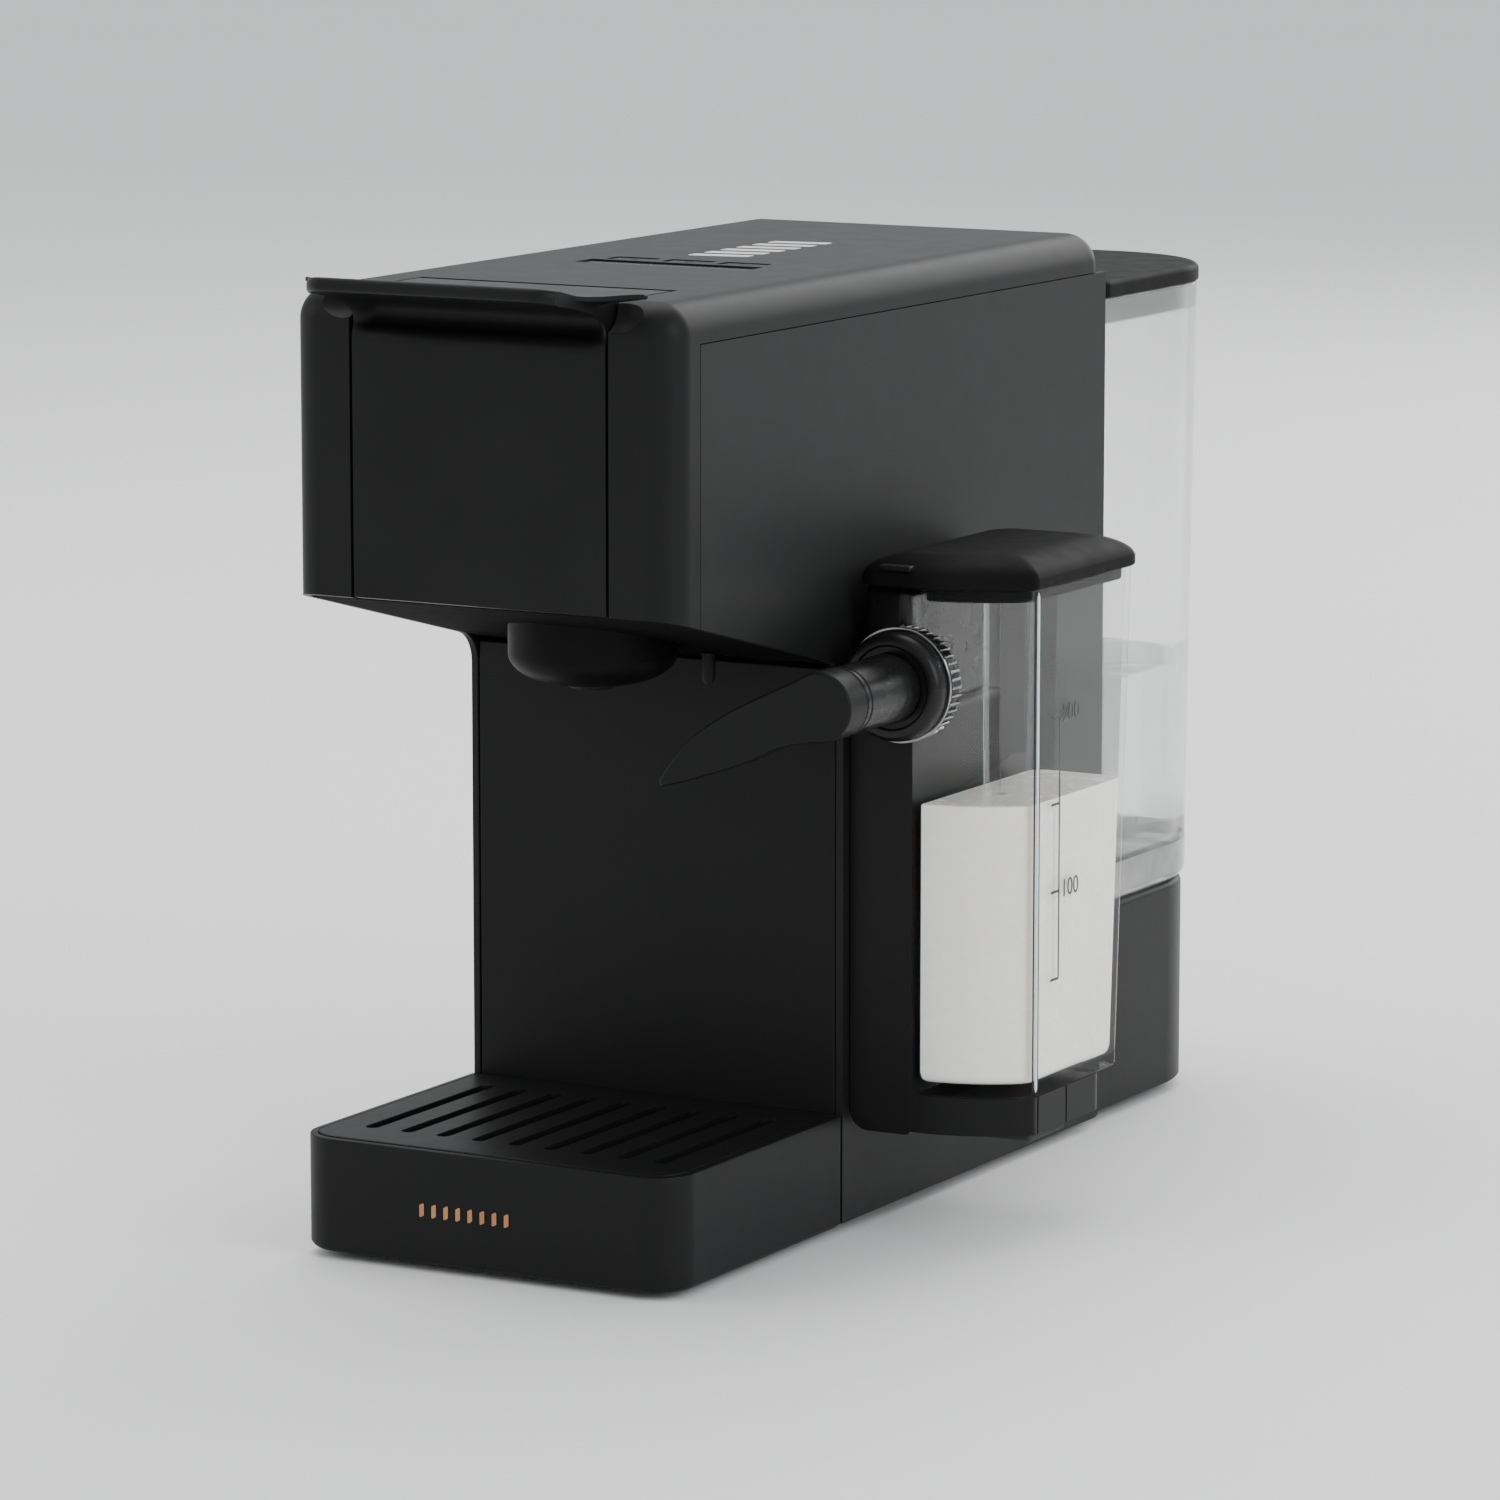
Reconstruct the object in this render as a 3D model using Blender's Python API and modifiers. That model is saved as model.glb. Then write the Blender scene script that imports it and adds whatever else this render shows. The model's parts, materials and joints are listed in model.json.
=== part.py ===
import math

import bmesh
import bpy
from mathutils import Matrix, Vector

# Pod coffee machine with a milk jug on its right side and a water tank behind.
# While the pieces are laid out, X = 0 is the middle of the body, Y = 0 the front
# of the drip tray and Z = 0 the table; an empty then moves the whole machine so
# that the middle of its footprint is the origin.  All sizes are in metres.

# Body
body_half = 0.061                  # half width of head, column and tray
head_top = 0.272
head_front = 0.001
head_back = 0.261
seam_height = head_top - 0.0115    # underside of the top shell along the sides
strip_depth = 0.0155               # how far the shell wraps back beside the lever
column_front_y = 0.0965
under_front = 0.187                # head underside at its front
under_back = 0.163                 # head underside where it meets the column
wall = 0.0022
gap = 0.0003
edge_radius = 0.0095
inner_radius = 0.0072
side_fillet = 0.010                # where the head meets the column

# Base and feet
base_bottom = 0.003
base_thick = 0.003
foot_radius = 0.008
foot_stem = 0.003
foot_x = body_half - 0.013
foot_front_y = 0.110
foot_rear_y = 0.300

# Lever
lever_half = 0.040
lever_groove = 0.0009
panel_thick = 0.003
panel_top = head_top - 0.010
hinge_y = 0.0334
hinge_z = head_top - 0.005
knuckle_radius = 0.005
pin_radius = 0.0015
pin_clearance = 0.0003
lip_reach = 0.028          # how far the lip stands out in front of the head
lip_rise = 0.0055          # how far its tip stands above the head's top

# Brew unit
frame_thick = 0.0022
frame_front_y = 0.024
frame_back_y = 0.090
frame_floor_z = under_front - 0.007
bore_radius = 0.0195
bore_depth = 0.044
cage_half = bore_radius + 0.0075
cage_height = 2 * bore_radius + 0.009
cage_front_y = 0.044
cage_back_y = 0.104
piston_length = 0.014
piston_travel = 0.020
rod_radius = 0.006
bowl_radius = 0.0238
bowl_drop = 0.0085
bowl_height = 0.0200
bowl_y = 0.062
bowl_bottom = under_back - 0.0045
outlet_radius = 0.008
outlet_lip = 0.0018                # how far the outlet stands below the bowl

# Inside the column
bin_half = 0.036
bin_depth = 0.042
bin_low = 0.040
bin_top = 0.120
bin_wall = 0.0018
bulkhead_y = 0.144
shelf_thick = 0.002
board_low = 0.238
board_thick = 0.0016
board_half = 0.050
pump_x = -0.026
pump_axis_z = 0.048
pump_radius = 0.019
flow_x = 0.026
flow_y = 0.232
flow_base = 0.060
block_low = 0.118
block_x = (-0.022, 0.044)
block_y = (0.152, 0.214)
hose_radius = 0.0022

# Keys
key_count = 3
key_width = 0.014
key_pitch = key_width + 0.004
key_depth = 0.007
key_y = 0.1163
key_flange = 0.001
key_travel = 0.001
strip_half = 0.028
strip_front_y = 0.100
strip_back_y = 0.110
strip_recess = 0.0014

# Drip tray
tray_bottom = 0.002
tray_top = 0.0347
tray_corner = 0.012
tray_floor = 0.0035
grate_thick = 0.0032
grate_ledge = 0.002
slot_count = 9
slot_pitch = 0.0116
slot_width = 0.004
slot_front_y = 0.0165
slot_back_y = 0.0815

# Water tank and the base it stands on
tank_half = body_half - 0.0005
tank_front_y = 0.2616
tank_rear_y = 0.3575
tank_radius = 0.042
tank_taper = 0.0025
tank_wall = 0.002
tank_floor = 0.0025
tank_bottom = 0.067
tank_rim = 0.2515
tank_lid_thick = 0.0055
tank_lid_overhang = 0.001
skirt_depth = 0.008
stand_inset = 0.002
valve_radius = 0.007
valve_y = 0.310

# Milk holder and jug
jug_left = body_half + 0.0206
jug_side = jug_left + 0.0324        # right face of the jug
jug_front_y = 0.0995                # front at the jug's left edge
jug_edge_y = 0.1125                 # front at its crisp right edge
jug_rear_bottom_y = 0.168
jug_rear_top_y = 0.176
jug_bottom = 0.0420
jug_floor = 0.0032
jug_rim = 0.1857
jug_wall = 0.0016
jug_lid_top = 0.1948
jug_lid_overhang = 0.0012
head_block_left = body_half + 0.004
head_block_right = jug_left - 0.0021
head_block_back_y = 0.150
holder_front_y = 0.100
holder_bottom = 0.030
holder_top = 0.150
holder_right = jug_left - 0.0006
holder_back_y = 0.158
shelf_bottom = 0.031
shelf_inset = 0.0006
pad_front_y = 0.1150
pad_back_y = 0.1380
pad_drop = 0.0030
knob_x = jug_left - 0.0003
knob_z = 0.1596
knob_radius = 0.0155
knob_front_y = 0.0855
knob_back_y = 0.0985
pipe_radius = 0.0096
pipe_front_y = 0.0555
spout_width = 0.0105
spout_tip = (knob_x - 0.0501, 0.1336)
spout_brow = (knob_x - 0.0313, 0.1545)
port_y = 0.128
port_z = 0.168

for old in list(bpy.data.objects):
    bpy.data.objects.remove(old, do_unlink=True)

machine = bpy.data.collections.new("pod_coffee_machine")
cutters = bpy.data.collections.new("cutters")
bpy.context.scene.collection.children.link(machine)
bpy.context.scene.collection.children.link(cutters)

lip_front_y = head_front - lip_reach
lid_rear_y = tank_rear_y + tank_lid_overhang
lid_right_x = jug_side + jug_lid_overhang
middle_x = (lid_right_x - body_half) / 2
middle_y = (lip_front_y + lid_rear_y) / 2


def make_empty(name, place, parent=None):
    empty = bpy.data.objects.new(name, None)
    empty.empty_display_size = 0.01
    machine.objects.link(empty)
    empty.parent = parent
    empty.location = place
    return empty


origin = make_empty("machine_origin", (-middle_x, -middle_y, 0))
spots = {None: Vector((0, 0, 0))}


def make_axis(name, place):
    """An empty on a joint's axis, which the moving pieces hang from."""
    empty = make_empty(name, place, origin)
    spots[empty] = Vector(place)
    return empty


def finish(name, colour, roughness, metallic=0.0, alpha=1.0):
    material = bpy.data.materials.new(name)
    material.use_nodes = True
    shader = material.node_tree.nodes["Principled BSDF"]
    shader.inputs["Base Color"].default_value = (*colour, 1)
    shader.inputs["Roughness"].default_value = roughness
    shader.inputs["Metallic"].default_value = metallic
    shader.inputs["Alpha"].default_value = alpha
    return material


black_shell = finish("black_shell", (0.022, 0.022, 0.023), 0.42)
black_gloss = finish("black_gloss", (0.015, 0.015, 0.016), 0.25)
dark_inner = finish("dark_inner", (0.05, 0.05, 0.052), 0.55)
clear_plastic = finish("clear_plastic", (0.9, 0.93, 0.94), 0.06, alpha=0.25)
steel = finish("steel", (0.62, 0.62, 0.63), 0.28, 1.0)
chrome_trim = finish("chrome_trim", (0.8, 0.8, 0.8), 0.12, 1.0)
cast_alloy = finish("cast_alloy", (0.5, 0.5, 0.5), 0.45, 1.0)
board_green = finish("board_green", (0.02, 0.12, 0.05), 0.5)
rubber = finish("rubber", (0.03, 0.03, 0.03), 0.8)
hose_white = finish("hose_white", (0.75, 0.74, 0.7), 0.4)


def settle(obj, material, parent=None, cutter=False):
    """Puts a new object in its collection and hangs it from its empty."""
    (cutters if cutter else machine).objects.link(obj)
    obj.parent = parent or origin
    obj.location = obj.location - spots[parent]
    if cutter:
        obj.hide_render = True
        obj.display_type = "WIRE"
    else:
        obj.data.materials.append(material)
    return obj


def bevel(obj, width, segments=2, angle=35):
    if width > 0:
        mod = obj.modifiers.new("rounding", "BEVEL")
        mod.width = width
        mod.segments = segments
        mod.limit_method = "ANGLE"
        mod.angle_limit = math.radians(angle)
        mod.use_clamp_overlap = True
    return obj


def cut(obj, *tools, operation="DIFFERENCE"):
    for tool in tools:
        mod = obj.modifiers.new("shape", "BOOLEAN")
        mod.operation = operation
        mod.solver = "EXACT"
        mod.object = tool
    return obj


def block(name, x, y, z, material=None, rounding=0, segments=2, parent=None, cutter=False):
    """A box between two values on each axis."""
    mesh = bpy.data.meshes.new(name)
    box = bmesh.new()
    bmesh.ops.create_cube(box, size=1)
    size = Vector((x[1] - x[0], y[1] - y[0], z[1] - z[0]))
    bmesh.ops.scale(box, vec=size, verts=box.verts)
    box.to_mesh(mesh)
    box.free()
    obj = bpy.data.objects.new(name, mesh)
    obj.location = ((x[0] + x[1]) / 2, (y[0] + y[1]) / 2, (z[0] + z[1]) / 2)
    settle(obj, material, parent, cutter)
    return bevel(obj, rounding, segments)


def rounded(corners, steps=5):
    """Turns corners (u, v, radius) into an outline with an arc at each corner."""
    points = []
    count = len(corners)
    for index, (u, v, radius) in enumerate(corners):
        here = Vector((u, v))
        if radius <= 0:
            points.append((u, v))
            continue
        before = (Vector(corners[index - 1][:2]) - here).normalized()
        after = (Vector(corners[(index + 1) % count][:2]) - here).normalized()
        half = before.angle(after) / 2
        centre = here + (before + after).normalized() * (radius / math.sin(half))
        reach = radius / math.tan(half)
        first = here + before * reach - centre
        sweep = first.angle_signed(here + after * reach - centre)
        for step in range(steps + 1):
            turn = Matrix.Rotation(-sweep * step / steps, 2)
            points.append(tuple(centre + turn @ first))
    return points


planes = {
    "XY": Matrix.Identity(4),
    "YZ": Matrix(((0, 0, 1, 0), (1, 0, 0, 0), (0, 1, 0, 0), (0, 0, 0, 1))),
    "XZ": Matrix(((1, 0, 0, 0), (0, 0, -1, 0), (0, 1, 0, 0), (0, 0, 0, 1))),
}


def slab(name, outline, plane, low, high, material=None, parent=None, cutter=False):
    """A flat outline drawn as a filled curve and given its thickness."""
    curve = bpy.data.curves.new(name, "CURVE")
    curve.dimensions = "2D"
    curve.fill_mode = "BOTH"
    curve.extrude = (high - low) / 2
    spline = curve.splines.new("POLY")
    spline.points.add(len(outline) - 1)
    for point, (u, v) in zip(spline.points, outline):
        point.co = (u, v, 0, 1)
    spline.use_cyclic_u = True
    drawn = bpy.data.objects.new(name + "_outline", curve)
    machine.objects.link(drawn)
    middle = (low + high) / 2 * (-1 if plane == "XZ" else 1)
    drawn.matrix_world = planes[plane] @ Matrix.Translation((0, 0, middle))
    bpy.context.view_layer.update()
    seen = drawn.evaluated_get(bpy.context.evaluated_depsgraph_get())
    mesh = bpy.data.meshes.new_from_object(seen)
    mesh.transform(drawn.matrix_world)
    bpy.data.objects.remove(drawn, do_unlink=True)
    welded = bmesh.new()
    welded.from_mesh(mesh)
    bmesh.ops.remove_doubles(welded, verts=welded.verts, dist=0.00001)
    bmesh.ops.recalc_face_normals(welded, faces=welded.faces)
    welded.to_mesh(mesh)
    welded.free()
    mesh.materials.clear()
    obj = bpy.data.objects.new(name, mesh)
    home = spots[parent].copy()
    mesh.transform(Matrix.Translation(-home))
    obj.location = home
    return settle(obj, material, parent, cutter)


def loft(name, sections, material=None, parent=None, cutter=False):
    """A closed skin through outlines of equal point count, each at its height."""
    mesh = bpy.data.meshes.new(name)
    skin = bmesh.new()
    home = spots[parent].copy()
    rings = []
    for height, outline in sections:
        rings.append([skin.verts.new(Vector((x, y, height)) - home) for x, y in outline])
    skin.faces.new(list(reversed(rings[0])))
    for below, above in zip(rings, rings[1:]):
        count = len(below)
        for side in range(count):
            after = (side + 1) % count
            skin.faces.new((below[side], below[after], above[after], above[side]))
    skin.faces.new(rings[-1])
    bmesh.ops.recalc_face_normals(skin, faces=skin.faces)
    skin.to_mesh(mesh)
    skin.free()
    obj = bpy.data.objects.new(name, mesh)
    obj.location = home
    return settle(obj, material, parent, cutter)


def turned(name, profile, place, axis="Z", material=None, steps=32, ring=False, parent=None,
           cutter=False):
    """A turned shape: profile points are (radius, height), outer side going down."""
    mesh = bpy.data.meshes.new(name)
    edges = [(i, i + 1) for i in range(len(profile) - 1)]
    if ring:
        edges.append((len(profile) - 1, 0))
    mesh.from_pydata([(radius, 0, height) for radius, height in profile], edges, [])
    obj = bpy.data.objects.new(name, mesh)
    obj.location = place
    obj.rotation_euler = {"Z": (0, 0, 0), "Y": (-math.pi / 2, 0, 0), "X": (0, math.pi / 2, 0)}[axis]
    settle(obj, material, parent, cutter)
    mod = obj.modifiers.new("turn", "SCREW")
    mod.angle = 2 * math.pi
    mod.steps = steps
    mod.render_steps = steps
    mod.use_merge_vertices = True
    mod.merge_threshold = 0.00001
    mod.use_smooth_shade = True
    return obj


def rod(name, low, high, radius, place, axis, material=None, steps=24, parent=None, cutter=False):
    """A plain round bar between two heights on its axis."""
    profile = [(0, high), (radius, high), (radius, low), (0, low)]
    return turned(name, profile, place, axis, material, steps, parent=parent, cutter=cutter)


def path(points, per_span=6):
    """A smooth line through its points."""
    line = [Vector(point) for point in points]
    ends = [2 * line[0] - line[1]] + line + [2 * line[-1] - line[-2]]
    smooth_line = []
    for a, b, c, d in zip(ends, ends[1:], ends[2:], ends[3:]):
        for step in range(per_span):
            t = step / per_span
            smooth_line.append(0.5 * (2 * b + (c - a) * t + (2 * a - 5 * b + 4 * c - d) * t * t
                                      + (3 * b - a - 3 * c + d) * t ** 3))
    return smooth_line + [line[-1]]


def tube(name, points, radius, material, parent=None):
    curve = bpy.data.curves.new(name, "CURVE")
    curve.dimensions = "3D"
    curve.bevel_depth = radius
    curve.bevel_resolution = 2
    curve.use_fill_caps = True
    spline = curve.splines.new("POLY")
    line = path(points)
    spline.points.add(len(line) - 1)
    home = spots[parent]
    for point, place in zip(spline.points, line):
        point.co = (*(place - home), 1)
    obj = bpy.data.objects.new(name, curve)
    obj.location = home
    return settle(obj, material, parent)


def underside(y):
    """Height of the head's sloping underside."""
    fall = (under_front - under_back) / (column_front_y - head_front)
    return under_front - (y - head_front) * fall


def plan(half, front, rear, radius, front_radius=0.003, steps=7):
    """Outline with a widely rounded rear, as the tank has."""
    return rounded([(-half, front, front_radius), (half, front, front_radius),
                    (half, rear, radius), (-half, rear, radius)], steps)


# ---- casing ---------------------------------------------------------------

def side_panel(name, side):
    outline = rounded([
        (strip_depth + gap, underside(strip_depth + gap), 0),
        (column_front_y, underside(column_front_y), side_fillet),
        (column_front_y, base_bottom, 0.001),
        (head_back - gap, base_bottom, 0.003),
        (head_back - gap, seam_height - gap, 0),
        (strip_depth + gap, seam_height - gap, 0)], 4)
    low, high = sorted((side * body_half, side * (body_half - wall)))
    return slab(name, outline, "YZ", low, high, black_shell)


side_panel("side_panel_right", 1)
side_panel("side_panel_left", -1)

inside = body_half - wall - gap
above = head_top + 0.03    # clear of everything, for cutters

top_shell = block("top_shell", (-body_half, body_half), (head_front, head_back),
                  (under_back, head_top), black_shell, edge_radius, 4)
shell_hollow = block("shell_hollow", (-body_half + wall, body_half - wall),
                     (head_front + wall, head_back - wall), (under_back - 0.03, head_top - wall),
                     rounding=inner_radius, segments=3, cutter=True)
shell_sides = block("shell_sides", (-0.1, 0.1), (strip_depth, 0.4), (0.1, seam_height), cutter=True)
lever_window = block("lever_window", (-lever_half - lever_groove, lever_half + lever_groove),
                     (-0.05, hinge_y + knuckle_radius + gap + 0.0001), (0.1, above), cutter=True)
shell_foot = slab("shell_foot", [(-0.05, 0.1), (0.1, 0.1), (0.1, underside(0.1)),
                                 (-0.05, underside(-0.05))], "YZ", -0.1, 0.1, cutter=True)
strip_pocket = block("strip_pocket", (-strip_half, strip_half), (strip_front_y, strip_back_y),
                     (head_top - strip_recess, head_top + 0.01), cutter=True)
cut(top_shell, shell_hollow, shell_sides, lever_window, shell_foot, strip_pocket)

key_places = [(i - (key_count - 1) / 2) * key_pitch for i in range(key_count)]
for number, key_x in enumerate(key_places):
    hole = block(f"key_hole_{number + 1}",
                 (key_x - key_width / 2 - gap, key_x + key_width / 2 + gap),
                 (key_y - key_depth / 2 - gap, key_y + key_depth / 2 + gap),
                 (head_top - 0.01, head_top + 0.01), cutter=True)
    cut(top_shell, hole)

block("control_strip", (-strip_half + gap, strip_half - gap),
      (strip_front_y + gap, strip_back_y - gap),
      (head_top - strip_recess + gap, head_top - 0.0003), black_gloss, 0.0003, 1)

head_floor = slab("head_floor", rounded([
    (-inside, head_front + panel_thick + 0.0006, inner_radius + 0.001),
    (inside, head_front + panel_thick + 0.0006, inner_radius + 0.001),
    (inside, column_front_y - gap, 0), (-inside, column_front_y - gap, 0)], 4),
    "XY", under_back - 0.02, under_front + 0.02, dark_inner)
floor_layer = slab("floor_layer", [(-0.02, underside(-0.02)), (0.12, underside(0.12)),
                                   (0.12, underside(0.12) + wall), (-0.02, underside(-0.02) + wall)],
                   "YZ", -0.1, 0.1, cutter=True)
bowl_hole = rod("bowl_hole", 0.1, above, bowl_radius + gap, (0, bowl_y, 0), "Z", cutter=True, steps=32)
cut(head_floor, floor_layer, operation="INTERSECT")
cut(head_floor, bowl_hole)

block("column_front", (-inside, inside), (column_front_y, column_front_y + wall),
      (base_bottom, under_back - 0.0012), black_shell, 0.0006, 1)

hose_gate = block("hose_gate", (0.002, 0.032), (0.2, 0.27), (0.028, 0.048), cutter=True)
back_panel = block("back_panel", (-inside, inside), (head_back - gap - wall, head_back - gap),
                   (base_bottom + base_thick + gap, seam_height - gap), dark_inner, 0.0005, 1)
cut(back_panel, hose_gate)

# ---- base, stand of the tank and feet -------------------------------------

stand_half = tank_half - stand_inset
stand_rear_y = tank_rear_y - tank_taper - stand_inset
stand_radius = tank_radius - stand_inset
base_inset = wall + gap
base_plate = slab("base_plate", plan(stand_half - base_inset, column_front_y + wall + gap,
                                     stand_rear_y - base_inset, stand_radius - base_inset),
                  "XY", base_bottom, base_bottom + base_thick, black_shell)

rear_stand = slab("rear_stand", plan(stand_half, head_back + gap, stand_rear_y, stand_radius),
                  "XY", base_bottom, tank_bottom - gap, black_shell)
stand_hollow = slab("stand_hollow", plan(stand_half - wall, 0.2, stand_rear_y - wall,
                                         stand_radius - wall),
                    "XY", -0.01, tank_bottom - gap - wall, cutter=True)
valve_hole = rod("valve_hole", 0, 0.1, valve_radius + 0.002 + gap, (0, valve_y, 0), "Z",
                 cutter=True, steps=24)
gland_z = 0.022
gland_hole = rod("gland_hole", -0.02, 0.02, 0.006 + gap, (0, stand_rear_y, gland_z), "Y",
                 cutter=True)
cut(rear_stand, stand_hollow, valve_hole, gland_hole, hose_gate)

turned("cord_gland", [(0, 0.0028), (0.005, 0.0028), (0.0065, 0.0012), (0.0065, gap),
                      (0.006, gap), (0.006, -0.007), (0, -0.007)],
       (0, stand_rear_y, gland_z), "Y", rubber, 24)

for name, foot_at in (("foot_front_left", (-foot_x, foot_front_y)),
                      ("foot_front_right", (foot_x, foot_front_y)),
                      ("foot_rear_left", (-foot_x + 0.008, foot_rear_y)),
                      ("foot_rear_right", (foot_x - 0.008, foot_rear_y))):
    stem_top = base_bottom + base_thick + 0.003
    turned(name, [(0, stem_top), (foot_stem, stem_top), (foot_stem, base_bottom - gap),
                  (foot_radius, base_bottom - gap), (foot_radius, 0.0008),
                  (foot_radius - 0.0008, 0), (0, 0)], (*foot_at, 0), "Z", rubber, 24)
    cut(base_plate, rod(name + "_hole", -0.01, 0.02, foot_stem + gap, (*foot_at, 0), "Z",
                        cutter=True))

# ---- brew unit ------------------------------------------------------------

def bowl_arc(thick, steps=6):
    """The bowl's rounded lower half, from its side in to the outlet."""
    middle = outlet_radius + gap
    return [(middle + (bowl_radius - thick - middle) * math.cos(turn),
             bowl_bottom + bowl_drop - (bowl_drop - thick) * math.sin(turn))
            for turn in (math.pi / 2 * step / steps for step in range(steps + 1))]


bowl_top = bowl_bottom + bowl_height
turned("brew_bowl", [(bowl_radius, bowl_top)] + bowl_arc(0) + list(reversed(bowl_arc(wall)))
       + [(bowl_radius - wall, bowl_top)], (0, bowl_y, 0), "Z", black_gloss, 32, ring=True)
outlet_seat = bowl_bottom + wall + gap
turned("coffee_outlet", [
    (outlet_radius + 0.002, outlet_seat + 0.002), (outlet_radius + 0.002, outlet_seat),
    (outlet_radius, outlet_seat), (outlet_radius - 0.001, bowl_bottom - 0.0010),
    (outlet_radius - 0.003, bowl_bottom - outlet_lip), (0.003, bowl_bottom - outlet_lip),
    (0.003, bowl_bottom), (outlet_radius - 0.002, outlet_seat + 0.002)],
    (0, bowl_y, 0), "Z", dark_inner, 24, ring=True)
tip_x = 0.027
tip_y = 0.080
turned("hot_water_tip", [(0, 0.009), (0.0019, 0.009), (0.0019, 0.0015), (0.0009, 0), (0, 0)],
       (tip_x, tip_y, underside(tip_y) - 0.009 - 0.0008), "Z", dark_inner, 16)

cheek_in = lever_half + lever_groove + gap
cheek_out = cheek_in + frame_thick
cheek_top = head_top - wall - gap
brew_frame = slab("brew_frame", [
    (-cheek_out, cheek_top), (-cheek_out, frame_floor_z), (cheek_out, frame_floor_z),
    (cheek_out, cheek_top), (cheek_in, cheek_top), (cheek_in, frame_floor_z + frame_thick),
    (-cheek_in, frame_floor_z + frame_thick), (-cheek_in, cheek_top)],
    "XZ", frame_front_y, frame_back_y, steel)
frame_notch = block("frame_notch", (-0.1, 0.1), (0, cage_front_y), (0.1, 0.2), cutter=True)
pin_bore = rod("pin_bore", -0.1, 0.1, pin_radius + pin_clearance, (0, hinge_y, hinge_z), "X",
               cutter=True, steps=20)
drain_hole = rod("drain_hole", 0.1, 0.2, 0.006, (0, bowl_y, 0), "Z", cutter=True)
cut(brew_frame, frame_notch, pin_bore, drain_hole)
rod("hinge_pin", -cheek_out, cheek_out, pin_radius, (0, hinge_y, hinge_z), "X", steel, 16)

cage_low = frame_floor_z + frame_thick + gap
bore_z = cage_low + cage_height / 2
brew_cage = block("brew_cage", (-cage_half, cage_half), (cage_front_y, cage_back_y),
                  (cage_low, cage_low + cage_height), dark_inner, 0.002, 2)
cage_bore = rod("cage_bore", -0.02, bore_depth, bore_radius, (0, cage_front_y, bore_z), "Y",
                cutter=True, steps=32)
pod_slot = block("pod_slot", (-bore_radius, bore_radius),
                 (cage_front_y + 0.002, cage_front_y + 0.002 + piston_travel), (bore_z, above),
                 cutter=True)
rod_bore = rod("rod_bore", 0, 0.1, rod_radius + gap, (0, cage_front_y, bore_z), "Y", cutter=True)
cage_drain = rod("cage_drain", -0.1, 0, 0.005, (0, bowl_y, bore_z), "Z", cutter=True)
cut(brew_cage, cage_bore, pod_slot, rod_bore, cage_drain)

piston_front_y = cage_front_y + 0.0025
piston_axis = make_axis("brew_piston_axis", (0, piston_front_y, bore_z))
rod_end = cage_back_y - piston_front_y + 0.008
turned("brew_piston", [
    (0, rod_end), (rod_radius, rod_end), (rod_radius, piston_length),
    (bore_radius - gap, piston_length), (bore_radius - gap, 0.003), (0.015, 0), (0, 0)],
    (0, piston_front_y, bore_z), "Y", steel, 32, parent=piston_axis)

# ---- lever ----------------------------------------------------------------

lever_axis = make_axis("lever_axis", (0, hinge_y, hinge_z))
panel_outline = [(head_front, underside(head_front) + 0.0002),
                 (head_front + panel_thick, underside(head_front + panel_thick) + 0.0002),
                 (head_front + panel_thick, panel_top), (head_front, panel_top)]
lever_panel = slab("lever_panel", panel_outline, "YZ", -lever_half, lever_half, black_shell,
                   parent=lever_axis)
bevel(lever_panel, 0.0007, 2)

tip_top = head_top + lip_rise
knuckle = [(hinge_y + knuckle_radius * math.sin(turn), hinge_z + knuckle_radius * math.cos(turn))
           for turn in (math.pi * 1.25 * step / 12 for step in range(13))]
lip_outline = knuckle + [
    (0.0285, head_top - 0.003), (0.0085, head_top - 0.0028),
    (head_front + panel_thick + 0.0004, head_top - 0.0062),
    (head_front + panel_thick, panel_top + gap), (head_front, panel_top + gap),
    (head_front - 0.0006, panel_top + 0.0038), (head_front - 0.0040, panel_top + 0.0072),
    (head_front - 0.0110, panel_top + 0.0092), (lip_front_y + 0.0010, tip_top - 0.0038),
    (lip_front_y, tip_top - 0.0026), (lip_front_y, tip_top - 0.0011),
    (lip_front_y + 0.0012, tip_top), (lip_front_y + 0.0080, tip_top - 0.0018),
    (lip_front_y + 0.0180, tip_top - 0.0038), (head_front + 0.0030, head_top + 0.0004),
    (0.0160, head_top)]
lever_lip = slab("lever_lip", lip_outline, "YZ", -lever_half, lever_half, black_shell,
                 parent=lever_axis)
lip_plan = []
for side in (1, -1):
    wing = [(lever_half, 0.06), (lever_half, head_front), (lever_half - 0.0028, -0.007),
            (lever_half - 0.0045, -0.015), (lever_half - 0.0052, lip_front_y + 0.005),
            (lever_half - 0.0078, lip_front_y + 0.0008), (0.018, lip_front_y + 0.0001),
            (0.0, lip_front_y)]
    wing = wing if side == 1 else list(reversed(wing[:-1]))
    lip_plan += [(side * u, v) for u, v in wing]
lip_trim = slab("lip_trim", lip_plan, "XY", panel_top - 0.06, above, cutter=True)
lip_bore = rod("lip_bore", -0.1, 0.1, pin_radius + pin_clearance, (0, hinge_y, hinge_z), "X",
               cutter=True, steps=20)
cut(lever_lip, lip_trim, operation="INTERSECT")
cut(lever_lip, lip_bore)

# ---- keys -----------------------------------------------------------------

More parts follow.
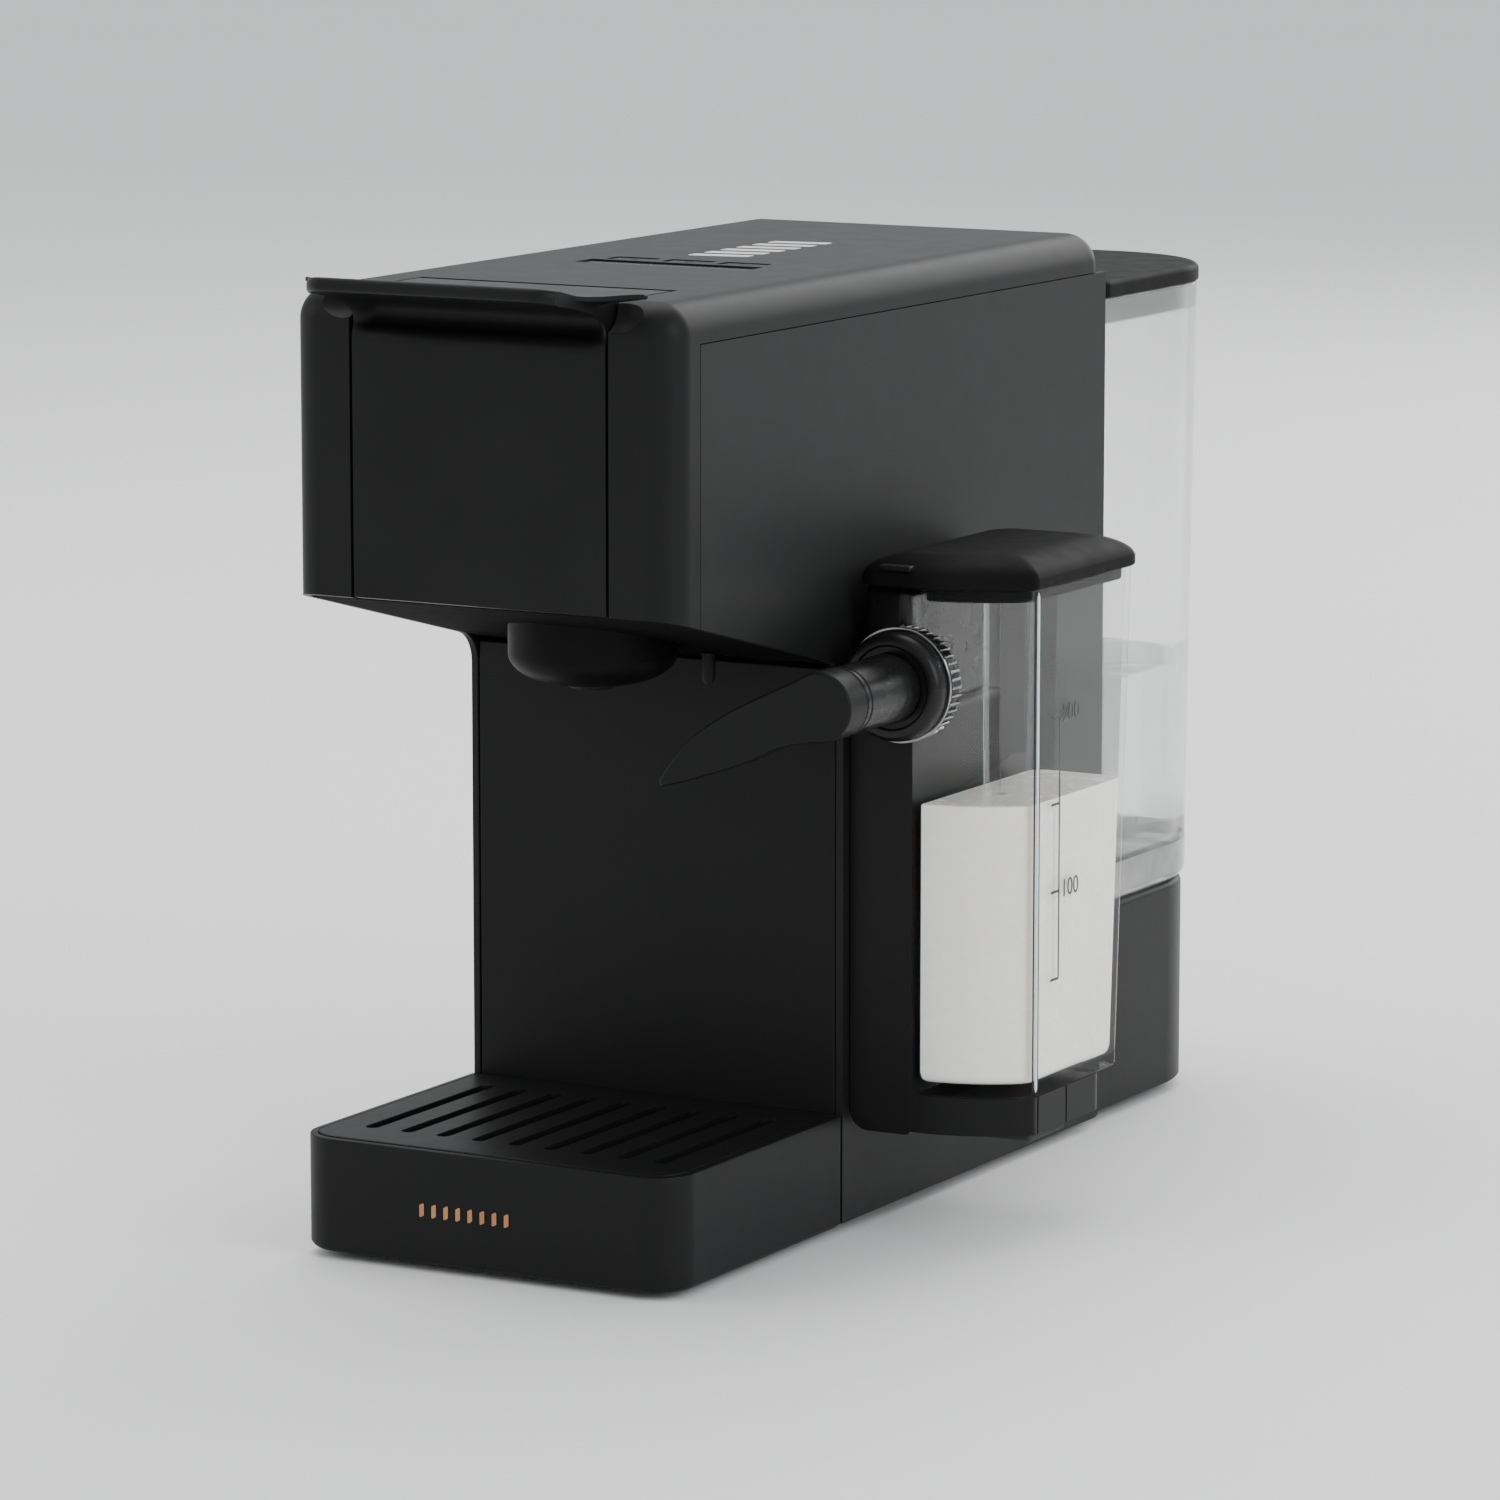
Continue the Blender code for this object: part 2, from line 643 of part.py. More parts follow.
skin_low = head_top - wall
key_names = ("key_left", "key_middle", "key_right")
for name, key_x in zip(key_names, key_places):
    axis = make_axis(name + "_axis", (key_x, key_y, head_top))
    cap = block(name, (key_x - key_width / 2, key_x + key_width / 2),
                (key_y - key_depth / 2, key_y + key_depth / 2),
                (skin_low - 0.0018, head_top - 0.0002), black_shell, 0.0006, 2, parent=axis)
    flange = block(name + "_flange",
                   (key_x - key_width / 2 - key_flange, key_x + key_width / 2 + key_flange),
                   (key_y - key_depth / 2 - key_flange, key_y + key_depth / 2 + key_flange),
                   (skin_low - 0.0025, skin_low - gap), parent=axis, cutter=True)
    stem = block(name + "_stem", (key_x - 0.002, key_x + 0.002), (key_y - 0.002, key_y + 0.002),
                 (skin_low - 0.006, skin_low - 0.001), parent=axis, cutter=True)
    cut(cap, flange, stem, operation="UNION")

board_top = skin_low - 0.006 - key_travel - gap
block("key_board", (-0.030, 0.030), (key_y - 0.010, key_y + 0.010),
      (board_top - board_thick, board_top), board_green)

# ---- inside the column ----------------------------------------------------

bin_front_y = column_front_y + wall + 0.001
capsule_bin = block("capsule_bin", (-bin_half, bin_half), (bin_front_y, bin_front_y + bin_depth),
                    (bin_low, bin_top), dark_inner, 0.003, 2)
bin_hollow = block("bin_hollow", (-bin_half + bin_wall, bin_half - bin_wall),
                   (bin_front_y + bin_wall, bin_front_y + bin_depth - bin_wall),
                   (bin_low + bin_wall, 0.2), cutter=True)
cut(capsule_bin, bin_hollow)

bulkhead = (bulkhead_y, bulkhead_y + shelf_thick)
chassis = block("chassis", (-inside + gap, inside - gap), bulkhead,
                (base_bottom + base_thick + gap, board_low - gap), steel)


def chassis_arm(name, x, y, z):
    cut(chassis, block(name, x, y, z, cutter=True), operation="UNION")


def chassis_shelf(name, x, y, carried):
    """A shelf whose top just clears the piece it carries."""
    chassis_arm(name, x, y, (carried - gap - shelf_thick, carried - gap))


into_bulkhead = bulkhead_y + shelf_thick / 2
behind = (into_bulkhead, 0.250)
chassis_shelf("board_shelf", (-board_half, board_half), behind, board_low)
chassis_shelf("flow_shelf", (flow_x - 0.020, flow_x + 0.024), behind, flow_base)
chassis_shelf("block_shelf", (block_x[0] + 0.002, block_x[1] - 0.002),
              (into_bulkhead, block_y[1] - 0.002), block_low)
chassis_shelf("pump_shelf", (pump_x - 0.022, pump_x + 0.022), behind, pump_axis_z - pump_radius)
chassis_shelf("bin_shelf", (-bin_half + 0.001, bin_half - 0.001), (bin_front_y, into_bulkhead),
              bin_low)
for name, side in (("rail_left", -1), ("rail_right", 1)):
    rail = sorted((side * (cheek_out + gap), side * (cheek_out + gap + shelf_thick)))
    chassis_arm(name, rail, (frame_front_y + 0.036, into_bulkhead),
                (frame_floor_z + 0.020, frame_floor_z + 0.044))
key_shelf_top = board_top - board_thick - gap
chassis_arm("key_post", (-0.012, 0.012), bulkhead, (board_low - 0.008, key_shelf_top))
chassis_arm("key_shelf", (-0.012, 0.012), (key_y - 0.009, into_bulkhead),
            (key_shelf_top - shelf_thick, key_shelf_top))
cut(chassis, block("brew_gate", (-0.006, 0.014), (0.14, 0.15), (bore_z - 0.0085, bore_z + 0.0075),
                   cutter=True),
    block("steam_gate", (body_half - 0.013, 0.1), (0.14, 0.15), (port_z - 0.018, port_z + 0.006),
          cutter=True),
    rod("flow_gate", 0.05, 0.07, hose_radius + 0.0008, (flow_x, flow_y, 0), "Z", cutter=True))

pump_y = 0.160
pump_place = (pump_x, pump_y, pump_axis_z)
turned("pump", [(0, 0.084), (0.007, 0.084), (0.007, 0.074), (0.014, 0.074), (0.014, 0.058),
                (pump_radius, 0.058), (pump_radius, 0.022), (0.014, 0.022), (0.014, 0.008),
                (0.005, 0.008),
                (0.005, 0), (0, 0)], pump_place, "Y", cast_alloy, 28)
flow_place = (flow_x, flow_y, flow_base)
turned("flow_meter", [(0, 0.016), (0.011, 0.016), (0.011, 0.004), (0.004, 0.004), (0.004, 0),
                      (0, 0)], flow_place, "Z", dark_inner, 24)
block_top = block_low + 0.046
block("thermoblock", block_x, block_y, (block_low, block_top), cast_alloy, 0.004, 2)
block("circuit_board", (-board_half, board_half), (bulkhead_y + 0.004, 0.248),
      (board_low, board_low + board_thick), board_green)
block("relay_block", (-0.030, 0.020), (0.170, 0.215),
      (board_low + board_thick + gap, board_low + 0.016), dark_inner, 0.001, 1)

pump_end_y = pump_y + 0.0845
inlet_z = block_low + 0.023
tube("water_tube", [(pump_x, pump_end_y, pump_axis_z), (pump_x, pump_end_y + 0.0045, pump_axis_z),
                    (pump_x, pump_end_y + 0.008, pump_axis_z + 0.006), (-0.027, 0.252, 0.085),
                    (-0.020, 0.246, 0.130), (-0.006, 0.234, inlet_z),
                    (0, block_y[1] + 0.008, inlet_z), (0, block_y[1] + 0.0005, inlet_z)],
     hose_radius, hose_white)
tube("feed_tube", [(0, valve_y, tank_bottom - 0.0125), (0, valve_y, tank_bottom - 0.017),
                   (0, 0.298, 0.040), (0.012, 0.268, 0.036), (0.024, 0.244, 0.038),
                   (flow_x, flow_y + 0.001, flow_base - 0.016), (flow_x, flow_y, flow_base - 0.008),
                   (flow_x, flow_y, flow_base - gap)], hose_radius, hose_white)
tube("brew_tube", [(0.010, 0.160, block_top + gap), (0.010, 0.158, 0.185), (0.006, 0.150, 0.205),
                   (0.002, 0.146, bore_z), (0, rod_end + piston_front_y + piston_travel + 0.003,
                                            bore_z)], hose_radius, hose_white)
steam_x = body_half - 0.0060
tube("steam_tube", [(block_x[1] + gap, 0.170, 0.150), (block_x[1] + 0.003, 0.170, 0.150),
                    (block_x[1] + 0.006, 0.168, 0.151),
                    (steam_x, 0.155, 0.160), (steam_x, 0.136, port_z),
                    (steam_x, port_y, port_z)], 0.0016, hose_white)

turned("valve_seat", [
    (valve_radius + 0.002, tank_bottom - 0.0008), (valve_radius + 0.002, tank_bottom - 0.008),
    (0.004, tank_bottom - 0.012), (0.0026, tank_bottom - 0.012), (0.0026, tank_bottom - 0.006),
    (valve_radius - 0.001, tank_bottom - 0.0035), (valve_radius - 0.001, tank_bottom - 0.0008)],
    (0, valve_y, 0), "Z", dark_inner, 24, ring=True)

# ---- drip tray ------------------------------------------------------------

def tray_plan(inset):
    corner = max(tray_corner - inset, 0.001)
    return rounded([(-body_half + inset, inset, corner), (body_half - inset, inset, corner),
                    (body_half - inset, column_front_y - gap - inset, 0.0012),
                    (-body_half + inset, column_front_y - gap - inset, 0.0012)], 6)


tray_axis = make_axis("drip_tray_axis", (0, 0, tray_bottom))
grate_low = tray_top - grate_thick
drip_tray = slab("drip_tray", tray_plan(0), "XY", tray_bottom, tray_top - gap, black_shell,
                 parent=tray_axis)
tray_upper = slab("tray_upper", tray_plan(wall), "XY", grate_low - gap, 0.1, parent=tray_axis,
                  cutter=True)
tray_lower = slab("tray_lower", tray_plan(wall + grate_ledge), "XY", tray_bottom + tray_floor, 0.1,
                  parent=tray_axis, cutter=True)
bevel(drip_tray, 0.0008, 2, 60)
cut(drip_tray, tray_upper, tray_lower)

grate_axis = make_axis("tray_grate_axis", (0, column_front_y / 2, tray_top))
tray_grate = slab("tray_grate", tray_plan(wall + gap), "XY", grate_low, tray_top, dark_inner,
                  parent=grate_axis)
for number in range(slot_count):
    slot_x = (number - (slot_count - 1) / 2) * slot_pitch
    slot = slab(f"slot_{number + 1}", rounded([
        (slot_x - slot_width / 2, slot_front_y, slot_width * 0.49),
        (slot_x + slot_width / 2, slot_front_y, slot_width * 0.49),
        (slot_x + slot_width / 2, slot_back_y, slot_width * 0.49),
        (slot_x - slot_width / 2, slot_back_y, slot_width * 0.49)], 2),
        "XY", 0.0, 0.1, parent=grate_axis, cutter=True)
    cut(tray_grate, slot)

# ---- water tank -----------------------------------------------------------

tank_axis = make_axis("water_tank_axis", (0, valve_y, tank_bottom))
low_plan = plan(tank_half - tank_taper / 2, tank_front_y, tank_rear_y - tank_taper, tank_radius)
high_plan = plan(tank_half, tank_front_y, tank_rear_y, tank_radius)
water_tank = loft("water_tank", [(tank_bottom, low_plan), (tank_rim, high_plan)], clear_plastic,
                  parent=tank_axis)
low_hollow = plan(tank_half - tank_taper / 2 - tank_wall, tank_front_y + tank_wall,
                  tank_rear_y - tank_taper - tank_wall, tank_radius - tank_wall, 0.001)
high_hollow = plan(tank_half - tank_wall, tank_front_y + tank_wall, tank_rear_y - tank_wall,
                   tank_radius - tank_wall, 0.001)
tank_hollow = loft("tank_hollow", [(tank_bottom + tank_floor, low_hollow),
                                   (tank_rim, high_hollow), (tank_rim + 0.01, high_hollow)],
                   parent=tank_axis, cutter=True)
tank_hole = rod("tank_hole", -0.01, 0.01, valve_radius - 0.002 + gap,
                (0, valve_y, tank_bottom), "Z", parent=tank_axis, cutter=True)
cut(water_tank, tank_hollow, tank_hole)
stem_radius = valve_radius - 0.002
turned("tank_valve", [
    (0, tank_bottom + 0.012), (0.003, tank_bottom + 0.012), (0.006, tank_bottom + 0.006),
    (0.009, tank_bottom + 0.005), (0.009, tank_bottom + tank_floor + gap),
    (stem_radius, tank_bottom + tank_floor + gap), (stem_radius, tank_bottom - 0.0025),
    (stem_radius - 0.002, tank_bottom - 0.0028), (0, tank_bottom - 0.0028)],
    (0, valve_y, 0), "Z", dark_inner, 24, parent=tank_axis)

lid_axis = make_axis("tank_lid_axis", (0, valve_y, tank_rim))
lid_low = tank_rim + gap
tank_lid = slab("tank_lid", plan(tank_half + tank_lid_overhang / 2, tank_front_y - gap,
                                 lid_rear_y, tank_radius + tank_lid_overhang),
                "XY", lid_low, lid_low + tank_lid_thick, black_shell, parent=lid_axis)
bevel(tank_lid, 0.0016, 3, 60)
skirt_gap = tank_wall + 0.0006
lid_skirt = slab("lid_skirt", plan(tank_half - skirt_gap, tank_front_y + skirt_gap,
                                   tank_rear_y - skirt_gap, tank_radius - skirt_gap, 0.002),
                 "XY", lid_low - skirt_depth, lid_low - gap, dark_inner, parent=lid_axis)
skirt_hollow = slab("skirt_hollow", plan(tank_half - skirt_gap - 0.002,
                                         tank_front_y + skirt_gap + 0.002,
                                         tank_rear_y - skirt_gap - 0.002,
                                         tank_radius - skirt_gap - 0.002, 0.001),
                    "XY", 0.1, lid_low - gap - 0.002, parent=lid_axis, cutter=True)
cut(lid_skirt, skirt_hollow)

# ---- milk holder ----------------------------------------------------------

holder_left = body_half + gap
shelf_top = jug_bottom - gap


def jug_plan(rear, inset=0.0, steps=7):
    """Plan of the jug: its front bows back to a crisp right edge."""
    across_x = jug_side - jug_left
    back_y = jug_edge_y - jug_front_y
    radius = (across_x ** 2 + back_y ** 2) / (2 * back_y)
    sweep = math.asin(across_x / radius)
    bow = [(jug_left + (radius - inset) * math.sin(sweep * step / steps),
            jug_front_y + radius - (radius - inset) * math.cos(sweep * step / steps))
           for step in range(steps + 1)]
    bow[0] = (jug_left + inset, jug_front_y + inset)
    bow[-1] = (jug_side - inset, bow[-1][1] + inset * 0.2)
    corner = 0.007 - inset
    rear_corners = [(jug_side - inset - corner * (1 - math.cos(turn)),
                     rear - inset - corner * (1 - math.sin(turn)))
                    for turn in (math.pi / 2 * step / 4 for step in range(5))]
    left_corners = [(jug_left + inset + corner * (1 - math.sin(turn)),
                     rear - inset - corner * (1 - math.cos(turn)))
                    for turn in (math.pi / 2 * step / 4 for step in range(5))]
    return bow + rear_corners + left_corners


milk_holder = slab("milk_holder", rounded([
    (holder_left, holder_bottom, 0.006), (holder_right, holder_bottom, 0.002),
    (holder_right, holder_top, 0.003), (holder_left, holder_top, 0.001)], 4),
    "XZ", holder_front_y, holder_back_y, black_shell)
shelf_body = slab("shelf_body", [(x, y) if x > jug_left + 0.002 else (holder_right - 0.001, y)
                                 for x, y in jug_plan(holder_back_y, shelf_inset)],
                  "XY", shelf_bottom, shelf_top, cutter=True)
holder_hollow = block("holder_hollow", (holder_left + wall, holder_right - wall),
                      (holder_front_y + wall, 0.2), (holder_bottom + 0.004, holder_top - wall),
                      rounding=0.002, segments=1, cutter=True)
pad_hole = block("pad_hole", (holder_right + wall, jug_side - shelf_inset - wall),
                 (pad_front_y, pad_back_y), (0, shelf_bottom + pad_drop), cutter=True)
cut(milk_holder, shelf_body, operation="UNION")
cut(milk_holder, holder_hollow, pad_hole)
block("shelf_pad", (holder_right + wall + gap, jug_side - shelf_inset - wall - gap),
      (pad_front_y + gap, pad_back_y - gap),
      (shelf_bottom - pad_drop, shelf_bottom + pad_drop - gap), rubber, 0.001, 1)

panel_bore = rod("panel_bore", -0.02, 0.02, 0.006 + gap, (body_half, port_y, port_z), "X",
                 cutter=True)
cut(bpy.data.objects["side_panel_right"], panel_bore)
block_gap = 0.0006
turned("steam_port", [
    (0.003, head_block_left - block_gap - body_half), (0.008, head_block_left - block_gap - body_half),
    (0.008, gap), (0.006, gap), (0.006, -0.004), (0.003, -0.004)],
    (body_half, port_y, port_z), "X", steel, 24, ring=True)

# ---- milk jug -------------------------------------------------------------

jug_axis = make_axis("milk_jug_axis", (jug_left, port_y, jug_bottom))

milk_container = loft("milk_container", [
    (jug_bottom, jug_plan(jug_rear_bottom_y)), (jug_rim, jug_plan(jug_rear_top_y))],
    clear_plastic, parent=jug_axis)
jug_hollow = loft("jug_hollow", [
    (jug_bottom + jug_floor, jug_plan(jug_rear_bottom_y, jug_wall)),
    (jug_rim, jug_plan(jug_rear_top_y, jug_wall)),
    (jug_rim + 0.01, jug_plan(jug_rear_top_y, jug_wall))], parent=jug_axis, cutter=True)
cut(milk_container, jug_hollow)

head_low = holder_top + gap
block("froth_head", (head_block_left, head_block_right),
                   (holder_front_y, head_block_back_y), (head_low, jug_rim), black_shell, 0.003, 3,
                   parent=jug_axis)

lid_lift_axis = make_axis("jug_lid_axis", (jug_left, port_y, jug_rim))
lid_base = jug_rim + gap
lid_front_y = jug_front_y - 0.003
lid_back_y = jug_rear_top_y + 0.002
jug_lid_plan = rounded([(head_block_left - 0.0005, lid_front_y, 0.006),
                        (jug_left + 0.006, lid_front_y, 0.030),
                        (lid_right_x, jug_edge_y - 0.003, 0.002),
                        (lid_right_x, lid_back_y, 0.009),
                        (head_block_left - 0.0005, lid_back_y, 0.009)], 4)


def shrunk(outline, amount):
    centre = sum((Vector(point) for point in outline), Vector((0, 0))) / len(outline)
    return [tuple(Vector(point) - Vector((math.copysign(amount, point[0] - centre.x),
                                          math.copysign(amount, point[1] - centre.y))))
            for point in outline]


loft("jug_lid", [
    (lid_base, shrunk(jug_lid_plan, 0.0006)), (lid_base + 0.0006, jug_lid_plan),
    (lid_base + 0.0030, jug_lid_plan), (jug_lid_top - 0.0018, shrunk(jug_lid_plan, 0.0055)),
    (jug_lid_top - 0.0005, shrunk(jug_lid_plan, 0.0085)),
    (jug_lid_top, shrunk(jug_lid_plan, 0.0120))], black_gloss, parent=lid_lift_axis)
straw_x = jug_left + 0.010
tube("milk_straw", [(straw_x, port_y, jug_rim), (straw_x, port_y, 0.140),
                    (straw_x + 0.001, port_y, 0.100), (straw_x + 0.002, port_y, jug_bottom + 0.008)],
     0.0025, clear_plastic, parent=lid_lift_axis)

pipe_back_y = jug_front_y - gap
turned("milk_pipe", [
    (pipe_radius, pipe_back_y), (pipe_radius, pipe_front_y), (0.003, pipe_front_y),
    (0.003, pipe_back_y)], (knob_x, 0, knob_z), "Y", black_gloss, 32, ring=True,
    parent=jug_axis)

knob_axis = make_axis("froth_knob_axis", (knob_x, knob_back_y, knob_z))
knob_depth = knob_back_y - knob_front_y
knob_bore = pipe_radius + gap
turned("froth_knob", [
    (knob_radius, 0), (knob_radius, -knob_depth + 0.003), (knob_radius - 0.0015, -knob_depth),
    (knob_bore, -knob_depth), (knob_bore, 0)],
    (knob_x, knob_back_y, knob_z), "Y", black_gloss, 32, ring=True, parent=knob_axis)
turned("knob_trim", [
    (knob_radius + 0.0016, -knob_depth + 0.0065), (knob_radius + 0.0016, -knob_depth + 0.0042),
    (knob_radius + gap, -knob_depth + 0.0036), (knob_radius + gap, -knob_depth + 0.0071)],
    (knob_x, knob_back_y, knob_z), "Y", chrome_trim, 40, ring=True, parent=knob_axis)

spout_axis = make_axis("milk_spout_axis", (knob_x, pipe_front_y, knob_z))
hub_radius = pipe_radius + 0.0002
hub_top = 2.25
hub_arc = [(knob_x + hub_radius * math.cos(turn), knob_z + hub_radius * math.sin(turn))
           for turn in (hub_top - (hub_top + 1.45) * step / 18 for step in range(19))]
tip_x_at, tip_z_at = spout_tip
brow_x, brow_z = spout_brow
spout_outline = hub_arc + [
    ((knob_x + tip_x_at) / 2 + 0.0030, (hub_arc[-1][1] + tip_z_at) / 2 + 0.0004),
    (tip_x_at, tip_z_at), (tip_x_at - 0.0002, tip_z_at + 0.0022),
    (tip_x_at + 0.0040, tip_z_at + 0.0080), (tip_x_at + 0.0105, tip_z_at + 0.0150),
    (brow_x, brow_z), (brow_x + 0.0100, brow_z + 0.0052)]
milk_spout = slab("milk_spout", spout_outline, "XZ", pipe_front_y - gap - spout_width,
                  pipe_front_y - gap, black_shell, parent=spout_axis)
bevel(milk_spout, 0.0022, 3, 50)
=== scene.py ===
import json
import math
import bmesh
import bpy
from mathutils import Matrix, Vector


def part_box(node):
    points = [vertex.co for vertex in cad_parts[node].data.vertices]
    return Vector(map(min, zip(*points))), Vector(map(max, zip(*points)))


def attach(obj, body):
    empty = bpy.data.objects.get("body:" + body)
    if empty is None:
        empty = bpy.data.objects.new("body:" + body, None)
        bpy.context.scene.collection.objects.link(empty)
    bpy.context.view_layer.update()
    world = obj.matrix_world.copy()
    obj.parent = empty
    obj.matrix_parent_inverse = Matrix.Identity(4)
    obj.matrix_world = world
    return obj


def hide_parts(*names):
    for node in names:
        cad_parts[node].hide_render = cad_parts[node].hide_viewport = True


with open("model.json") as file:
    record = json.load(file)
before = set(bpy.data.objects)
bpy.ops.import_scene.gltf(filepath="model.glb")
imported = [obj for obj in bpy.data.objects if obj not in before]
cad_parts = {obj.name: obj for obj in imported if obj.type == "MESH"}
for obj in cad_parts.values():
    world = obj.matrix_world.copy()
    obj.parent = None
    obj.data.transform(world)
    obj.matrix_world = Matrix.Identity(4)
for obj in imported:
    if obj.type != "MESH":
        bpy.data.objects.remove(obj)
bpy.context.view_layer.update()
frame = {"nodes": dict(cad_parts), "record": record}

print("frame loaded")

# Lengths are in millimetres, from the middle of the body, the front of the drip tray and
# the table. place() turns them into the frame's metres.
shellLow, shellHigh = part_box("top_shell")
layoutShift = Vector(((shellLow.x + shellHigh.x) / 2, shellLow.y - 0.001, 0))


def place(x, y, z):
    return Vector((x, y, z)) * 0.001 + layoutShift


# Camera, floor and light

cameraSetup = {"eye": (961.3, -1572.1, 447.8), "target": (84.87, 0.0, 154.67), "lens": 164.46}


def makeCamera(setup):
    camera = bpy.data.objects.new("camera", bpy.data.cameras.new("camera"))
    bpy.context.scene.collection.objects.link(camera)
    camera.data.lens = setup["lens"]
    camera.data.sensor_width = 36
    camera.data.clip_start = 0.05
    camera.data.clip_end = 80
    camera.location = place(*setup["eye"])
    aim = place(*setup["target"]) - camera.location
    camera.rotation_euler = aim.to_track_quat("-Z", "Y").to_euler()
    bpy.context.scene.camera = camera


makeCamera(cameraSetup)

lightSetup = {
    "sky": (0.96, 0.98, 1.0), "skyStrength": 0.88,
    # name: place in metres, size, watts, colour
    "overhead": ((-0.5, 0.5, 2.1), 2.0, 26, (1.0, 0.99, 0.97)),
    "rightWindow": ((2.4, -0.5, 1.2), 1.8, 29, (0.97, 0.98, 1.0)),
    "leftFill": ((-2.2, -1.4, 1.2), 1.5, 12, (1.0, 0.98, 0.95)),
    "backRim": ((0.3, 2.4, 1.2), 2.0, 34, (1.0, 1.0, 1.0)),
}


def makeLights(setup):
    world = bpy.data.worlds.new("studio")
    world.use_nodes = True
    background = world.node_tree.nodes["Background"]
    background.inputs["Color"].default_value = (*setup["sky"], 1)
    background.inputs["Strength"].default_value = setup["skyStrength"]
    bpy.context.scene.world = world
    for name in ("overhead", "rightWindow", "leftFill", "backRim"):
        spot, size, watts, colour = setup[name]
        lamp = bpy.data.lights.new(name, "AREA")
        lamp.shape = "DISK"
        lamp.size = size
        lamp.energy = watts
        lamp.color = colour
        holder = bpy.data.objects.new(name, lamp)
        bpy.context.scene.collection.objects.link(holder)
        holder.location = spot
        holder.rotation_euler = (Vector((0, 0, 0.14)) - holder.location).to_track_quat("-Z",
            "Y").to_euler()


makeLights(lightSetup)
print("camera and lights placed")

# Materials


def nodeKit(name):
    material = bpy.data.materials.new(name)
    material.use_nodes = True
    tree = material.node_tree
    return material, tree.nodes, tree.links, tree.nodes["Principled BSDF"]


def noiseField(nodes, links, scale, detail, stretch=(1, 1, 1)):
    coords = nodes.new("ShaderNodeTexCoord")
    mapping = nodes.new("ShaderNodeMapping")
    mapping.inputs["Scale"].default_value = stretch
    noise = nodes.new("ShaderNodeTexNoise")
    noise.inputs["Scale"].default_value = scale
    noise.inputs["Detail"].default_value = detail
    links.new(coords.outputs["Object"], mapping.inputs["Vector"])
    links.new(mapping.outputs["Vector"], noise.inputs["Vector"])
    return noise.outputs["Fac"]


def remap(nodes, links, source, low, high, fromLow=0.3, fromHigh=0.7):
    node = nodes.new("ShaderNodeMapRange")
    node.inputs["From Min"].default_value = fromLow
    node.inputs["From Max"].default_value = fromHigh
    node.inputs["To Min"].default_value = low
    node.inputs["To Max"].default_value = high
    links.new(source, node.inputs["Value"])
    return node.outputs["Result"]


def blendColour(nodes, links, share, first, second):
    node = nodes.new("ShaderNodeMix")
    node.data_type = "RGBA"
    node.inputs[6].default_value = (*first, 1)
    node.inputs[7].default_value = (*second, 1)
    links.new(share, node.inputs[0])
    return node.outputs[2]


def addBump(nodes, links, shader, source, strength, depth):
    node = nodes.new("ShaderNodeBump")
    node.inputs["Strength"].default_value = strength
    node.inputs["Distance"].default_value = depth * 0.001
    links.new(source, node.inputs["Height"])
    links.new(node.outputs["Normal"], shader.inputs["Normal"])


def moulded(name, look):
    # Moulded plastic, rubber or paint: clouded colour, uneven gloss and a fine grain.
    material, nodes, links, shader = nodeKit(name)
    cloud = remap(nodes, links, noiseField(nodes, links, look.get("cloud", 30), 4), 0, 1)
    links.new(blendColour(nodes, links, cloud, look["dark"], look["light"]),
        shader.inputs["Base Color"])
    patch = noiseField(nodes, links, 160, 3)
    links.new(remap(nodes, links, patch, *look["rough"]), shader.inputs["Roughness"])
    addBump(nodes, links, shader, noiseField(nodes, links, look["grain"], 2), look["bump"], 0.06)
    shader.inputs["Metallic"].default_value = look.get("metal", 0.0)
    shader.inputs["Specular IOR Level"].default_value = look.get("specular", 0.5)
    shader.inputs["Subsurface Weight"].default_value = look.get("depthLight", 0.0)
    shader.inputs["Subsurface Scale"].default_value = 0.004
    return material


def brushed(name, look):
    # Metal with fine lines along one direction.
    material, nodes, links, shader = nodeKit(name)
    lines = noiseField(nodes, links, look["scale"], 4, look["stretch"])
    links.new(blendColour(nodes, links, remap(nodes, links, lines, 0, 1), look["dark"],
        look["light"]), shader.inputs["Base Color"])
    links.new(remap(nodes, links, lines, *look["rough"]), shader.inputs["Roughness"])
    addBump(nodes, links, shader, lines, look["bump"], 0.02)
    shader.inputs["Metallic"].default_value = 1.0
    return material


def clear(name, look):
    # Clear plastic or water: nearly open where it faces the eye, closing towards its edges.
    material, nodes, links, shader = nodeKit(name)
    cloud = remap(nodes, links, noiseField(nodes, links, 18, 3), 0, 1)
    links.new(blendColour(nodes, links, cloud, look["dark"], look["light"]),
        shader.inputs["Base Color"])
    links.new(remap(nodes, links, noiseField(nodes, links, 90, 2), *look["rough"]),
        shader.inputs["Roughness"])
    shader.inputs["Transmission Weight"].default_value = 1.0
    shader.inputs["IOR"].default_value = look["ior"]
    edge = nodes.new("ShaderNodeLayerWeight")
    edge.inputs["Blend"].default_value = 0.5
    links.new(remap(nodes, links, edge.outputs["Facing"], *look["alpha"], look["from"], 1.0),
        shader.inputs["Alpha"])
    addBump(nodes, links, shader, noiseField(nodes, links, look["ripple"], 2), look["bump"], 0.3)
    return material


